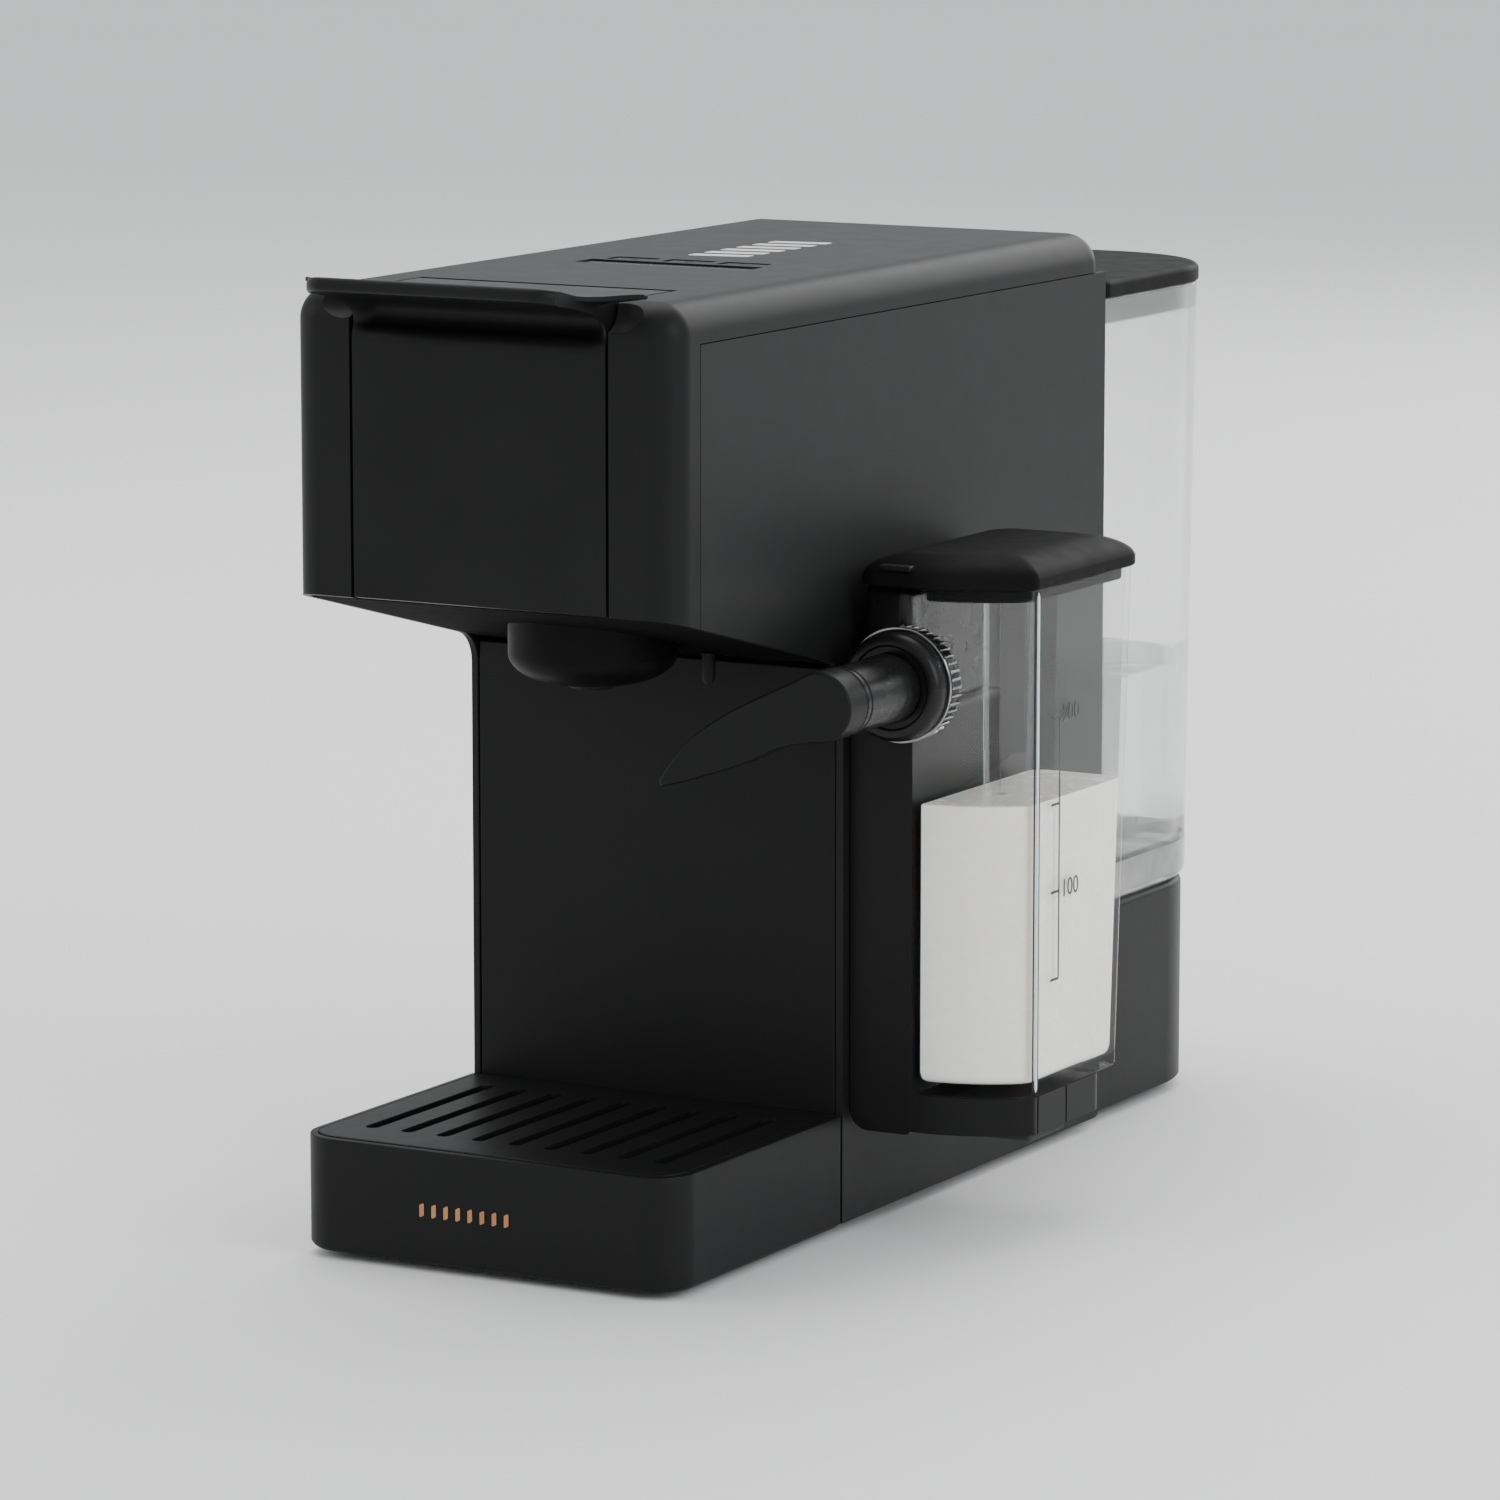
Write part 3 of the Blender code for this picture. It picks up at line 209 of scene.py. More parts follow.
# Each finish: dark colour, light colour, roughness range, grain, bump, then what it has besides.
mouldedLooks = {
    "shellBlack": ((0.0078, 0.0079, 0.0082), (0.0086, 0.0087, 0.009), (0.43, 0.46), 2400, 0.18,
        {"specular": 0.13}),
    "sideBlack": ((0.0086, 0.0087, 0.009), (0.0092, 0.0093, 0.0096), (0.49, 0.52), 2000, 0.24,
        {"specular": 0.18}),
    "leverBlack": ((0.008, 0.0081, 0.0084), (0.01, 0.0101, 0.0104), (0.38, 0.44), 2600, 0.12,
        {"specular": 0.12}),
    "glossBlack": ((0.0055, 0.0055, 0.0058), (0.0072, 0.0072, 0.0075), (0.24, 0.32), 1500, 0.05,
        {"specular": 0.22}),
    # Painted shade: a darker, duller copy of the gloss black, used for the brew bowl where it sits
    # under the head.
    "shadedBowlBlack": ((0.0035, 0.0035, 0.0037), (0.0045, 0.0045, 0.0047), (0.44, 0.52), 1500, 0.05,
        {"specular": 0.08}),
    # Painted shade: a darker, duller copy of the inner grey, used for the head's underside.
    "underShadeBlack": ((0.0045, 0.0045, 0.0047), (0.0055, 0.0055, 0.0057), (0.78, 0.86), 1700, 0.2,
        {"specular": 0.03}),
    "lidBlack": ((0.006, 0.006, 0.0062), (0.0072, 0.0072, 0.0074), (0.54, 0.62), 2300, 0.2,
        {"specular": 0.06}),
    "innerGrey": ((0.0075, 0.0075, 0.0078), (0.0098, 0.0098, 0.0102), (0.5, 0.6), 1700, 0.2,
        {"specular": 0.2}),
    "skirtGrey": ((0.01, 0.01, 0.0105), (0.02, 0.02, 0.021), (0.36, 0.44), 1700, 0.15, {}),
    "rubberBlack": ((0.018, 0.018, 0.018), (0.028, 0.028, 0.027), (0.72, 0.86), 1300, 0.35, {}),
    "castGrey": ((0.34, 0.34, 0.34), (0.48, 0.48, 0.47), (0.42, 0.58), 900, 0.5, {"metal": 1.0}),
    "boardGreen": ((0.01, 0.075, 0.03), (0.022, 0.125, 0.05), (0.34, 0.46), 700, 0.4,
        {"cloud": 420}),
    "hoseWhite": ((0.66, 0.65, 0.6), (0.78, 0.77, 0.72), (0.34, 0.46), 900, 0.12,
        {"depthLight": 0.3}),
    "markWhite": ((0.62, 0.62, 0.61), (0.74, 0.74, 0.73), (0.42, 0.5), 3000, 0.08, {}),
    # Dark grey for the printed key signs and jug scale, and also for the painted shade lines down
    # the jug's corner.
    "printAndShadeGrey": ((0.01, 0.01, 0.0105), (0.016, 0.016, 0.0165), (0.42, 0.5), 3000, 0.08, {}),
    "markCopper": ((0.36, 0.17, 0.09), (0.52, 0.26, 0.14), (0.3, 0.38), 2600, 0.1, {"metal": 1.0}),
    # Painted highlight: a near-white finish for the strip down the jug's crisp corner.
    "paintedHighlightWhite": ((0.8, 0.81, 0.82), (0.9, 0.91, 0.92), (0.1, 0.16), 900, 0.04,
        {"depthLight": 0.3}),
    "milkWhite": ((0.9, 0.88, 0.83), (0.94, 0.92, 0.87), (0.22, 0.3), 500, 0.04,
        {"cloud": 22, "depthLight": 0.35}),
}
brushedLooks = {
    "steel": {"dark": (0.48, 0.48, 0.49), "light": (0.66, 0.66, 0.67), "rough": (0.24, 0.38),
        "scale": 60, "stretch": (1, 14, 14), "bump": 0.25},
    "chrome": {"dark": (0.2, 0.2, 0.205), "light": (0.3, 0.3, 0.305), "rough": (0.12, 0.2),
        "scale": 120, "stretch": (1, 1, 1), "bump": 0.03},
}
clearLooks = {
    "clearJug": {"dark": (0.9, 0.92, 0.925), "light": (0.95, 0.965, 0.97), "rough": (0.01, 0.03),
        "ior": 1.46, "from": 0.74, "alpha": (0.05, 0.9), "ripple": 35, "bump": 0.05},
    "clearTank": {"dark": (0.88, 0.9, 0.905), "light": (0.94, 0.955, 0.96), "rough": (0.01, 0.03),
        "ior": 1.46, "from": 0.38, "alpha": (0.08, 0.95), "ripple": 30, "bump": 0.06},
    "waterClear": {"dark": (0.62, 0.66, 0.67), "light": (0.74, 0.78, 0.79), "rough": (0.005, 0.02),
        "ior": 1.33, "from": 0.3, "alpha": (0.34, 0.95), "ripple": 24, "bump": 0.03},
}
finishes = {}
for name, (dark, light, rough, grain, bump, rest) in mouldedLooks.items():
    finishes[name] = moulded(name, dict(rest, dark=dark, light=light, rough=rough, grain=grain,
        bump=bump))
for name, look in brushedLooks.items():
    finishes[name] = brushed(name, look)
for name, look in clearLooks.items():
    finishes[name] = clear(name, look)
slotFinish = {"black_shell": "shellBlack", "black_gloss": "glossBlack", "dark_inner": "innerGrey",
    "clear_plastic": "clearJug", "steel": "steel", "chrome_trim": "chrome",
    "cast_alloy": "castGrey", "board_green": "boardGreen", "rubber": "rubberBlack",
    "hose_white": "hoseWhite"}
print("materials made")

floorSetup = {"half": 30.0, "drop": 0.0002}


def makeFloor(setup):
    half, drop = setup["half"], setup["drop"]
    mesh = bpy.data.meshes.new("floor")
    mesh.from_pydata([(-half, -half, -drop), (half, -half, -drop), (half, half, -drop),
        (-half, half, -drop)], [], [(0, 1, 2, 3)])
    floor = bpy.data.objects.new("floor", mesh)
    bpy.context.scene.collection.objects.link(floor)
    mesh.materials.append(moulded("floorPale", {"dark": (0.91, 0.91, 0.91),
        "light": (0.925, 0.925, 0.925), "rough": (0.55, 0.65), "cloud": 2, "grain": 300,
        "bump": 0.03}))


makeFloor(floorSetup)

# Shaping


def newObject(name, mesh):
    obj = bpy.data.objects.new(name, mesh)
    bpy.context.scene.collection.objects.link(obj)
    return obj


def fromShape(name, shape):
    bmesh.ops.remove_doubles(shape, verts=shape.verts, dist=0.000002)
    bmesh.ops.recalc_face_normals(shape, faces=shape.faces)
    mesh = bpy.data.meshes.new(name)
    shape.to_mesh(mesh)
    shape.free()
    return newObject(name, mesh)


def skinned(rings, comesBack):
    # Faces between each outline and the next, and from the last to the first if it comes back.
    shape = bmesh.new()
    loops = [[shape.verts.new(place(*point)) for point in ring] for ring in rings]
    for low, high in zip(loops, loops[1:] + (loops[:1] if comesBack else [])):
        for side in range(len(low)):
            after = (side + 1) % len(low)
            shape.faces.new((low[side], low[after], high[after], high[side]))
    return shape, loops


def lofted(name, rings):
    # A closed skin through rings of equal count.
    shape, loops = skinned(rings, False)
    shape.faces.new(list(reversed(loops[0])))
    shape.faces.new(loops[-1])
    return fromShape(name, shape)


def looped(name, rings):
    # A skin through outlines that comes back to its first one.
    return fromShape(name, skinned(rings, True)[0])


def extruded(name, outline, plane, low, high):
    spot = {"XY": lambda u, v, w: (u, v, w), "YZ": lambda u, v, w: (w, u, v),
        "XZ": lambda u, v, w: (u, w, v)}[plane]
    return lofted(name, [[spot(u, v, level) for u, v in outline] for level in (low, high)])


def turned(name, profile, centre, axis, steps, ring=False):
    # Profile points are (radius, height along the axis).
    shape = bmesh.new()
    x, y, z = centre
    columns = []
    for step in range(steps):
        turn = 2 * math.pi * step / steps
        across, up = math.cos(turn), math.sin(turn)
        spot = {"Z": lambda r, h: (x + r * across, y + r * up, z + h),
            "Y": lambda r, h: (x + r * across, y + h, z + r * up),
            "X": lambda r, h: (x + h, y + r * across, z + r * up)}[axis]
        columns.append([shape.verts.new(place(*spot(r, h))) for r, h in profile])
    spans = len(profile) if ring else len(profile) - 1
    for step in range(steps):
        here, there = columns[step], columns[(step + 1) % steps]
        for low in range(spans):
            high = (low + 1) % len(profile)
            shape.faces.new((here[low], there[low], there[high], here[high]))
    return fromShape(name, shape)


def cutterRod(name, radius, reach, centre, axis, steps):
    # A plain rod that reaches as far each way from its centre.
    profile = [(0, reach), (radius, reach), (radius, -reach), (0, -reach)]
    return turned(name, profile, centre, axis, steps)


def roundBox(name, x, y, z, radius, steps):
    shape = bmesh.new()
    bmesh.ops.create_cube(shape, size=1)
    low, high = place(x[0], y[0], z[0]), place(x[1], y[1], z[1])
    bmesh.ops.scale(shape, vec=high - low, verts=shape.verts)
    bmesh.ops.translate(shape, vec=(low + high) / 2, verts=shape.verts)
    bmesh.ops.bevel(shape, geom=shape.edges[:], offset=radius * 0.001, segments=steps, profile=0.5,
        affect="EDGES", clamp_overlap=True)
    return fromShape(name, shape)


def ellipsoid(name, centre, radii):
    shape = bmesh.new()
    steps = 48
    bmesh.ops.create_uvsphere(shape, u_segments=steps, v_segments=steps // 2, radius=0.001)
    bmesh.ops.scale(shape, vec=Vector(radii), verts=shape.verts)
    bmesh.ops.translate(shape, vec=place(*centre), verts=shape.verts)
    return fromShape(name, shape)


def roundedOutline(corners, steps):
    # Corners (u, v, radius) become an outline with an arc at each.
    points = []
    for index, (u, v, radius) in enumerate(corners):
        here = Vector((u, v))
        if radius <= 0:
            points.append((u, v))
            continue
        before = (Vector(corners[index - 1][:2]) - here).normalized()
        after = (Vector(corners[(index + 1) % len(corners)][:2]) - here).normalized()
        half = before.angle(after) / 2
        centre = here + (before + after).normalized() * (radius / math.sin(half))
        first = here + before * (radius / math.tan(half)) - centre
        last = here + after * (radius / math.tan(half)) - centre
        sweep = first.angle_signed(last)
        points += [tuple(centre + Matrix.Rotation(-sweep * step / steps, 2) @ first)
            for step in range(steps + 1)]
    return points


def drawnIn(outline, inset):
    # The outline pulled in by about the inset, without crossing itself.
    us, vs = [u for u, v in outline], [v for u, v in outline]
    midU, midV = (min(us) + max(us)) / 2, (min(vs) + max(vs)) / 2
    halfU, halfV = (max(us) - min(us)) / 2, (max(vs) - min(vs)) / 2
    return [(midU + (u - midU) * (1 - inset / halfU), midV + (v - midV) * (1 - inset / halfV))
        for u, v in outline]


def smoothLine(points, perSpan):
    # A smooth line through the points, ends included.
    line = [Vector(point) for point in points]
    full = [2 * line[0] - line[1]] + line + [2 * line[-1] - line[-2]]
    made = []
    for index in range(1, len(full) - 2):
        a, b, c, d = full[index - 1:index + 3]
        for step in range(perSpan):
            t = step / perSpan
            made.append(0.5 * (2 * b + (c - a) * t + (2 * a - 5 * b + 4 * c - d) * t * t
                + (3 * b - a - 3 * c + d) * t ** 3))
    return made + [line[-1]]


def settleModifiers(obj):
    bpy.context.view_layer.update()
    mesh = bpy.data.meshes.new_from_object(obj.evaluated_get(bpy.context.evaluated_depsgraph_get()))
    obj.modifiers.clear()
    obj.data = mesh
    return obj


def carve(obj, *tools, operation="DIFFERENCE"):
    for tool in tools:
        cut = obj.modifiers.new("cut", "BOOLEAN")
        cut.operation = operation
        cut.solver = "EXACT"
        cut.object = tool
    settleModifiers(obj)
    for tool in tools:
        bpy.data.objects.remove(tool, do_unlink=True)
    return obj


def eased(obj, width, steps=2, angle=40):
    # Rounds the sharp edges by a small width.
    edge = obj.modifiers.new("ease", "BEVEL")
    edge.width = width * 0.001
    edge.segments = steps
    edge.limit_method = "ANGLE"
    edge.angle_limit = math.radians(angle)
    edge.use_clamp_overlap = True
    edge.miter_outer = "MITER_ARC"
    return settleModifiers(obj)


def joined(name, *parts):
    shape = bmesh.new()
    for part in parts:
        shape.from_mesh(part.data)
        bpy.data.objects.remove(part, do_unlink=True)
    mesh = bpy.data.meshes.new(name)
    shape.to_mesh(mesh)
    shape.free()
    return newObject(name, mesh)


def done(obj, body, finish, slot, *stoodFor, angle=38):
    # Shades a finished piece, gives it its material and sets it on its body.
    obj.data.materials.clear()
    obj.data.materials.append(finishes[finish])
    for face in obj.data.polygons:
        face.material_index = 0
    obj.data.shade_smooth()
    obj.data.set_sharp_from_angle(angle=math.radians(angle))
    even = obj.modifiers.new("even", "WEIGHTED_NORMAL")
    even.keep_sharp = True
    even.weight = 80
    settleModifiers(obj)
    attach(obj, body)
    if stoodFor:
        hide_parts(*stoodFor)
    return obj


def refined(node, body, finish, slot, width):
    # A CAD node's own shape with its edges eased, standing for that node.
    shape = bmesh.new()
    shape.from_mesh(frame["nodes"][node].data)
    bmesh.ops.remove_doubles(shape, verts=shape.verts, dist=0.000002)
    bmesh.ops.dissolve_limit(shape, angle_limit=math.radians(0.8), verts=shape.verts[:],
        edges=shape.edges[:])
    parts = node.split("_")
    name = parts[0] + "".join(part.capitalize() for part in parts[1:])
    mesh = bpy.data.meshes.new(name)
    shape.to_mesh(mesh)
    shape.free()
    return done(eased(newObject(name, mesh), width, 2, 38), body, finish, slot, node)


# Geometry Nodes trees for what repeats


def startTree(name, inputs):
    tree = bpy.data.node_groups.new(name, "GeometryNodeTree")
    sockets = {}
    for label, kind in inputs:
        sockets[label] = tree.interface.new_socket(name=label, in_out="INPUT",
            socket_type=kind).identifier
    tree.interface.new_socket(name="Geometry", in_out="OUTPUT", socket_type="NodeSocketGeometry")
    return tree, sockets, tree.nodes.new("NodeGroupInput"), tree.nodes.new("NodeGroupOutput")


def wired(tree, *links):
    # Each link: a node, its output, the node it feeds and that one's input.
    for source, output, target, entry in links:
        tree.links.new(source.outputs[output], target.inputs[entry])


def endTree(tree, source, groupIn, groupOut):
    realize = tree.nodes.new("GeometryNodeRealizeInstances")
    paint = tree.nodes.new("GeometryNodeSetMaterial")
    tree.links.new(source, realize.inputs["Geometry"])
    wired(tree, (realize, "Geometry", paint, "Geometry"), (groupIn, "Finish", paint, "Material"),
        (paint, "Geometry", groupOut, "Geometry"))


def rowTree():
    # Copies of a part in a straight row.
    tree, sockets, groupIn, groupOut = startTree("partsInRow",
        [("Part", "NodeSocketObject"), ("Count", "NodeSocketInt"), ("First", "NodeSocketVector"),
        ("Step", "NodeSocketVector"), ("Finish", "NodeSocketMaterial")])
    line = tree.nodes.new("GeometryNodeMeshLine")
    part = tree.nodes.new("GeometryNodeObjectInfo")
    copies = tree.nodes.new("GeometryNodeInstanceOnPoints")
    wired(tree, (groupIn, "Count", line, "Count"), (groupIn, "First", line, "Start Location"),
        (groupIn, "Step", line, "Offset"), (groupIn, "Part", part, "Object"),
        (line, "Mesh", copies, "Points"), (part, "Geometry", copies, "Instance"))
    endTree(tree, copies.outputs["Instances"], groupIn, groupOut)
    return tree, sockets


def ringTree():
    # Copies of a part round a circle whose axis is Y.
    tree, sockets, groupIn, groupOut = startTree("partsInRing",
        [("Part", "NodeSocketObject"), ("Count", "NodeSocketInt"), ("Radius", "NodeSocketFloat"),
        ("Centre", "NodeSocketVector"), ("Finish", "NodeSocketMaterial")])
    circle = tree.nodes.new("GeometryNodeMeshCircle")
    part = tree.nodes.new("GeometryNodeObjectInfo")
    copies = tree.nodes.new("GeometryNodeInstanceOnPoints")
    index = tree.nodes.new("GeometryNodeInputIndex")
    share = tree.nodes.new("ShaderNodeMath")
    share.operation = "DIVIDE"
    turn = tree.nodes.new("ShaderNodeMath")
    turn.operation = "MULTIPLY"
    turn.inputs[1].default_value = 2 * math.pi
    angles = tree.nodes.new("ShaderNodeCombineXYZ")
    spin = tree.nodes.new("FunctionNodeEulerToRotation")
    stand = tree.nodes.new("GeometryNodeTransform")
    stand.inputs["Rotation"].default_value = (math.pi / 2, 0, 0)
    wired(tree, (groupIn, "Count", circle, "Vertices"), (groupIn, "Radius", circle, "Radius"),
        (groupIn, "Part", part, "Object"), (index, "Index", share, 0), (groupIn, "Count", share, 1),
        (share, 0, turn, 0), (turn, 0, angles, "Z"), (angles, 0, spin, "Euler"),
        (circle, "Mesh", copies, "Points"), (part, "Geometry", copies, "Instance"),
        (spin, "Rotation", copies, "Rotation"), (copies, "Instances", stand, "Geometry"),
        (groupIn, "Centre", stand, "Translation"))
    endTree(tree, stand.outputs["Geometry"], groupIn, groupOut)
    return tree, sockets


def scatterTree():
    # A copy of a part at every point of a carrier mesh.
    tree, sockets, groupIn, groupOut = startTree("partsOnPoints",
        [("Part", "NodeSocketObject"), ("Carrier", "NodeSocketObject"),
        ("Finish", "NodeSocketMaterial")])
    part = tree.nodes.new("GeometryNodeObjectInfo")
    carrier = tree.nodes.new("GeometryNodeObjectInfo")
    copies = tree.nodes.new("GeometryNodeInstanceOnPoints")
    wired(tree, (groupIn, "Part", part, "Object"), (groupIn, "Carrier", carrier, "Object"),
        (carrier, "Geometry", copies, "Points"), (part, "Geometry", copies, "Instance"))
    endTree(tree, copies.outputs["Instances"], groupIn, groupOut)
    return tree, sockets


trees = {"row": rowTree(), "ring": ringTree(), "points": scatterTree()}


def repeated(name, kind, part, finish, **inputs):
    # Runs a tree on an empty mesh and keeps the result as a plain mesh.
    tree, sockets = trees[kind]
    host = newObject(name, bpy.data.meshes.new(name))
    maker = host.modifiers.new("repeat", "NODES")
    maker.node_group = tree
    maker[sockets["Part"]] = part
    maker[sockets["Finish"]] = finishes[finish]
    for label, value in inputs.items():
        maker[sockets[label]] = value
    settleModifiers(host)
    for spare in [part] + [value for value in inputs.values() if isinstance(value,
            bpy.types.Object)]:
        bpy.data.objects.remove(spare, do_unlink=True)
    return host


def atOrigin(obj):
    # Takes the layout shift off a part that a tree will copy.
    obj.data.transform(Matrix.Translation(-layoutShift))
    return obj


print("tools ready")

# Casing

bodyShape = {"half": 61.0, "front": 1.0, "back": 261.0, "top": 272.0, "seam": 260.5, "edge": 9.5,
    "underFront": 187.0, "underBack": 163.0, "column": 96.5, "wall": 2.2, "stripDepth": 15.5,
    "valley": (43.0, -1.0, 272.0), "valleySize": (10.0, 8.0, 8.5), "lining": 1.8,
    "windowHalf": 40.9, "windowBack": 38.8, "keyHoles": (-18, 0, 18), "keyHalf": 7.3,
    "keySpan": (112.5, 120.1), "recess": 1.4}


def underside(y):
    fall = (bodyShape["underFront"] - bodyShape["underBack"]) / (bodyShape["column"]
        - bodyShape["front"])
    return bodyShape["underFront"] - (y - bodyShape["front"]) * fall


def makeTopShell(s):
    shell = roundBox("topShell", (-s["half"], s["half"]), (s["front"], s["back"]), (160, s["top"]),
        s["edge"], 12)
    inner = roundBox("inner", (-s["half"] + s["wall"], s["half"] - s["wall"]),
        (s["front"] + s["wall"], s["back"] - s["wall"]), (130, s["top"] - s["wall"]), 7.2, 8)
    sides = roundBox("sides", (-90, 90), (s["stripDepth"], 400), (100, s["seam"]), 0.01, 1)
    window = roundBox("window", (-s["windowHalf"], s["windowHalf"]), (-50, s["windowBack"]),
        (100, 320), 0.01, 1)
    foot = extruded("foot", [(-50, 90), (90, 90), (90, underside(90)), (-50, underside(-50))], "YZ",
        -90, 90)
    strip = roundBox("strip", (-28, 28), (100, 110), (s["top"] - s["recess"], s["top"] + 9), 0.4, 2)
    x, y, z = s["valley"]
    for side in (-1, 1):
        carve(inner, ellipsoid("lining", (side * x, y, z), [size + s["lining"]
            for size in s["valleySize"]]))
    carve(shell, inner, sides, window, foot, strip)
    carve(shell, *[ellipsoid("valley", (side * x, y, z), s["valleySize"]) for side in (-1, 1)])
    holes = [roundBox("hole", (x - s["keyHalf"], x + s["keyHalf"]), s["keySpan"],
        (s["top"] - 9, s["top"] + 9), 0.9, 3) for x in s["keyHoles"]]
    carve(shell, *holes)
    return done(eased(shell, 0.3, 2, 50), "root", "shellBlack", "black_shell", "top_shell",
        angle=40)


makeTopShell(bodyShape)


def makeSidePanel(name, side, node, s):
    front = s["stripDepth"] + 0.3
    outline = roundedOutline([(front, underside(front), 0), (s["column"], underside(s["column"]),
        10), (s["column"], 3, 1), (s["back"] - 0.3, 3, 3), (s["back"] - 0.3, s["seam"] - 0.3, 0),
        (front, s["seam"] - 0.3, 0)], 10)
    low, high = sorted((side * s["half"], side * (s["half"] - s["wall"])))
    panel = extruded(name, outline, "YZ", low, high)
    if side > 0:
        carve(panel, cutterRod("bore", 6.3, 30, (s["half"], 128, 168), "X", 48))
    done(eased(panel, 0.35, 3), "root", "sideBlack", "black_shell", node)


makeSidePanel("sidePanelRight", 1, "side_panel_right", bodyShape)
makeSidePanel("sidePanelLeft", -1, "side_panel_left", bodyShape)

stripShape = {"half": 27.7, "front": 100.3, "back": 109.7, "low": 270.9, "high": 271.5}
done(roundBox("controlStrip", (-stripShape["half"], stripShape["half"]),
    (stripShape["front"], stripShape["back"]), (stripShape["low"], stripShape["high"]), 0.25, 3),
    "root", "glossBlack", "black_gloss", "control_strip")

floorShape = {"front": 4.6, "back": 96.2, "half": 58.5, "corner": 8.2, "thick": 2.2, "hole": 24.1}


def makeHeadFloor(s):
    outline = roundedOutline([(-s["half"], s["front"], s["corner"]),
        (s["half"], s["front"], s["corner"]), (s["half"], s["back"], 0),
        (-s["half"], s["back"], 0)], 12)
    plate = lofted("headFloor", [[(u, v, underside(v) + lift) for u, v in outline]
        for lift in (0.02, s["thick"])])
    carve(plate, cutterRod("hole", s["hole"], 40, (0, 62, 175), "Z", 96))
    # The head floor's finish paints the shade beneath the head: it is darker than the inner grey of
    # its slot.
    done(eased(plate, 0.3, 2), "root", "underShadeBlack", "dark_inner", "head_floor")


makeHeadFloor(floorShape)
done(roundBox("columnFront", (-58.5, 58.5), (96.5, 98.7), (3, 161.8), 0.7, 4), "root", "shellBlack",
    "black_shell", "column_front")
refined("back_panel", "root", "innerGrey", "dark_inner", 0.4)
refined("base_plate", "root", "shellBlack", "black_shell", 0.4)
print("casing made")

# Stand of the tank, feet and cord gland

standShape = {"half": 58.5, "front": 261.3, "rear": 353.0, "radius": 40.0, "low": 3.0, "top": 66.7,
    "wall": 2.2, "valveY": 310.0}


def roundedPlan(half, front, rear, radius, frontRadius=3.0):
    return roundedOutline([(-half, front, frontRadius), (half, front, frontRadius),
        (half, rear, radius), (-half, rear, radius)], 22)


def quarterRise(low, high, reach):
    # (height, inset) pairs for a rounded top edge.
    steps = 6
    return [(low + (high - low) * math.sin(turn), reach * (1 - math.cos(turn)))
        for turn in (math.pi / 2 * step / steps for step in range(steps + 1))]


def makeStand(s):
    outline = roundedPlan(s["half"], s["front"], s["rear"], s["radius"])
    rings = [[(u, v, s["low"]) for u, v in drawnIn(outline, 0.6)],
        [(u, v, s["low"] + 0.6) for u, v in outline]]
    rings += [[(u, v, height) for u, v in drawnIn(outline, inset)] for height,
        inset in quarterRise(s["top"] - 2.6, s["top"], 2.6)]
    stand = lofted("rearStand", rings)
    hollow = extruded("hollow", roundedPlan(s["half"] - s["wall"], 200, s["rear"] - s["wall"],
        s["radius"] - s["wall"]), "XY", -10, s["top"] - s["wall"])
    well = cutterRod("well", 9.3, 40, (0, s["valveY"], 64), "Z", 48)
    gland = cutterRod("glandHole", 6.3, 20, (0, s["rear"], 22), "Y", 40)
    gate = roundBox("gate", (2, 32), (200, 270), (28, 48), 0.5, 1)
    carve(stand, hollow, well, gland, gate)
    done(stand, "root", "shellBlack", "black_shell", "rear_stand")


makeStand(standShape)

footShape = {"radius": 8.0, "stem": 3.0, "spots": {"foot_front_left": (-48, 110),
    "foot_front_right": (48, 110), "foot_rear_left": (-40, 300), "foot_rear_right": (40, 300)}}
for footNode, (footX, footY) in footShape["spots"].items():
    words = footNode.split("_")
    wide, stem = footShape["radius"], footShape["stem"]
    pad = turned(words[0] + words[1].capitalize() + words[2].capitalize(),
        [(0, 9), (stem, 9), (stem, 2.7), (wide - 0.4, 2.7), (wide, 2.3), (wide, 0.9),
        (wide - 0.3, 0.3), (wide - 0.9, 0), (wide - 2.0, 0), (wide - 2.3, 0.35), (wide - 3.2, 0.35),
        (wide - 3.5, 0), (0, 0)], (footX, footY, 0), "Z", 48)
    done(pad, "root", "rubberBlack", "rubber", footNode)

glandShape = [(0, 2.8), (3.6, 2.8), (4.4, 2.6), (5.6, 2.0), (6.5, 1.2), (6.5, 0.3), (6.0, 0.3),
    (6.0, -7), (0, -7)]
done(turned("cordGland", glandShape, (0, standShape["rear"], 22), "Y", 48), "root", "rubberBlack",
    "rubber", "cord_gland")

screwShape = {"radius": 2.4, "spots": [(-50, 106), (50, 106), (-50, 250), (50, 250), (-22, 330),
    (22, 330)],
    "face": 3.0}


def makeScrews(s):
    carrier = newObject("carrier", bpy.data.meshes.new("carrier"))
    carrier.data.from_pydata([tuple(place(x, y, s["face"])) for x, y in s["spots"]], [], [])
    r = s["radius"]
    head = turned("head", [(0, 0.05), (r, 0.05), (r, -0.35), (r - 0.4, -0.7), (r * 0.45, -0.75),
        (r * 0.38, -0.25), (0, -0.25)], (0, 0, 0), "Z", 20)
    done(repeated("baseScrews", "points", atOrigin(head), "steel", Carrier=carrier), "root",
        "steel", "steel")


makeScrews(screwShape)

ventShape = {"count": 11, "pitch": 4.6, "x": -23.0, "z": 44.0, "length": 15.0, "width": 1.7,
    "proud": 0.5}


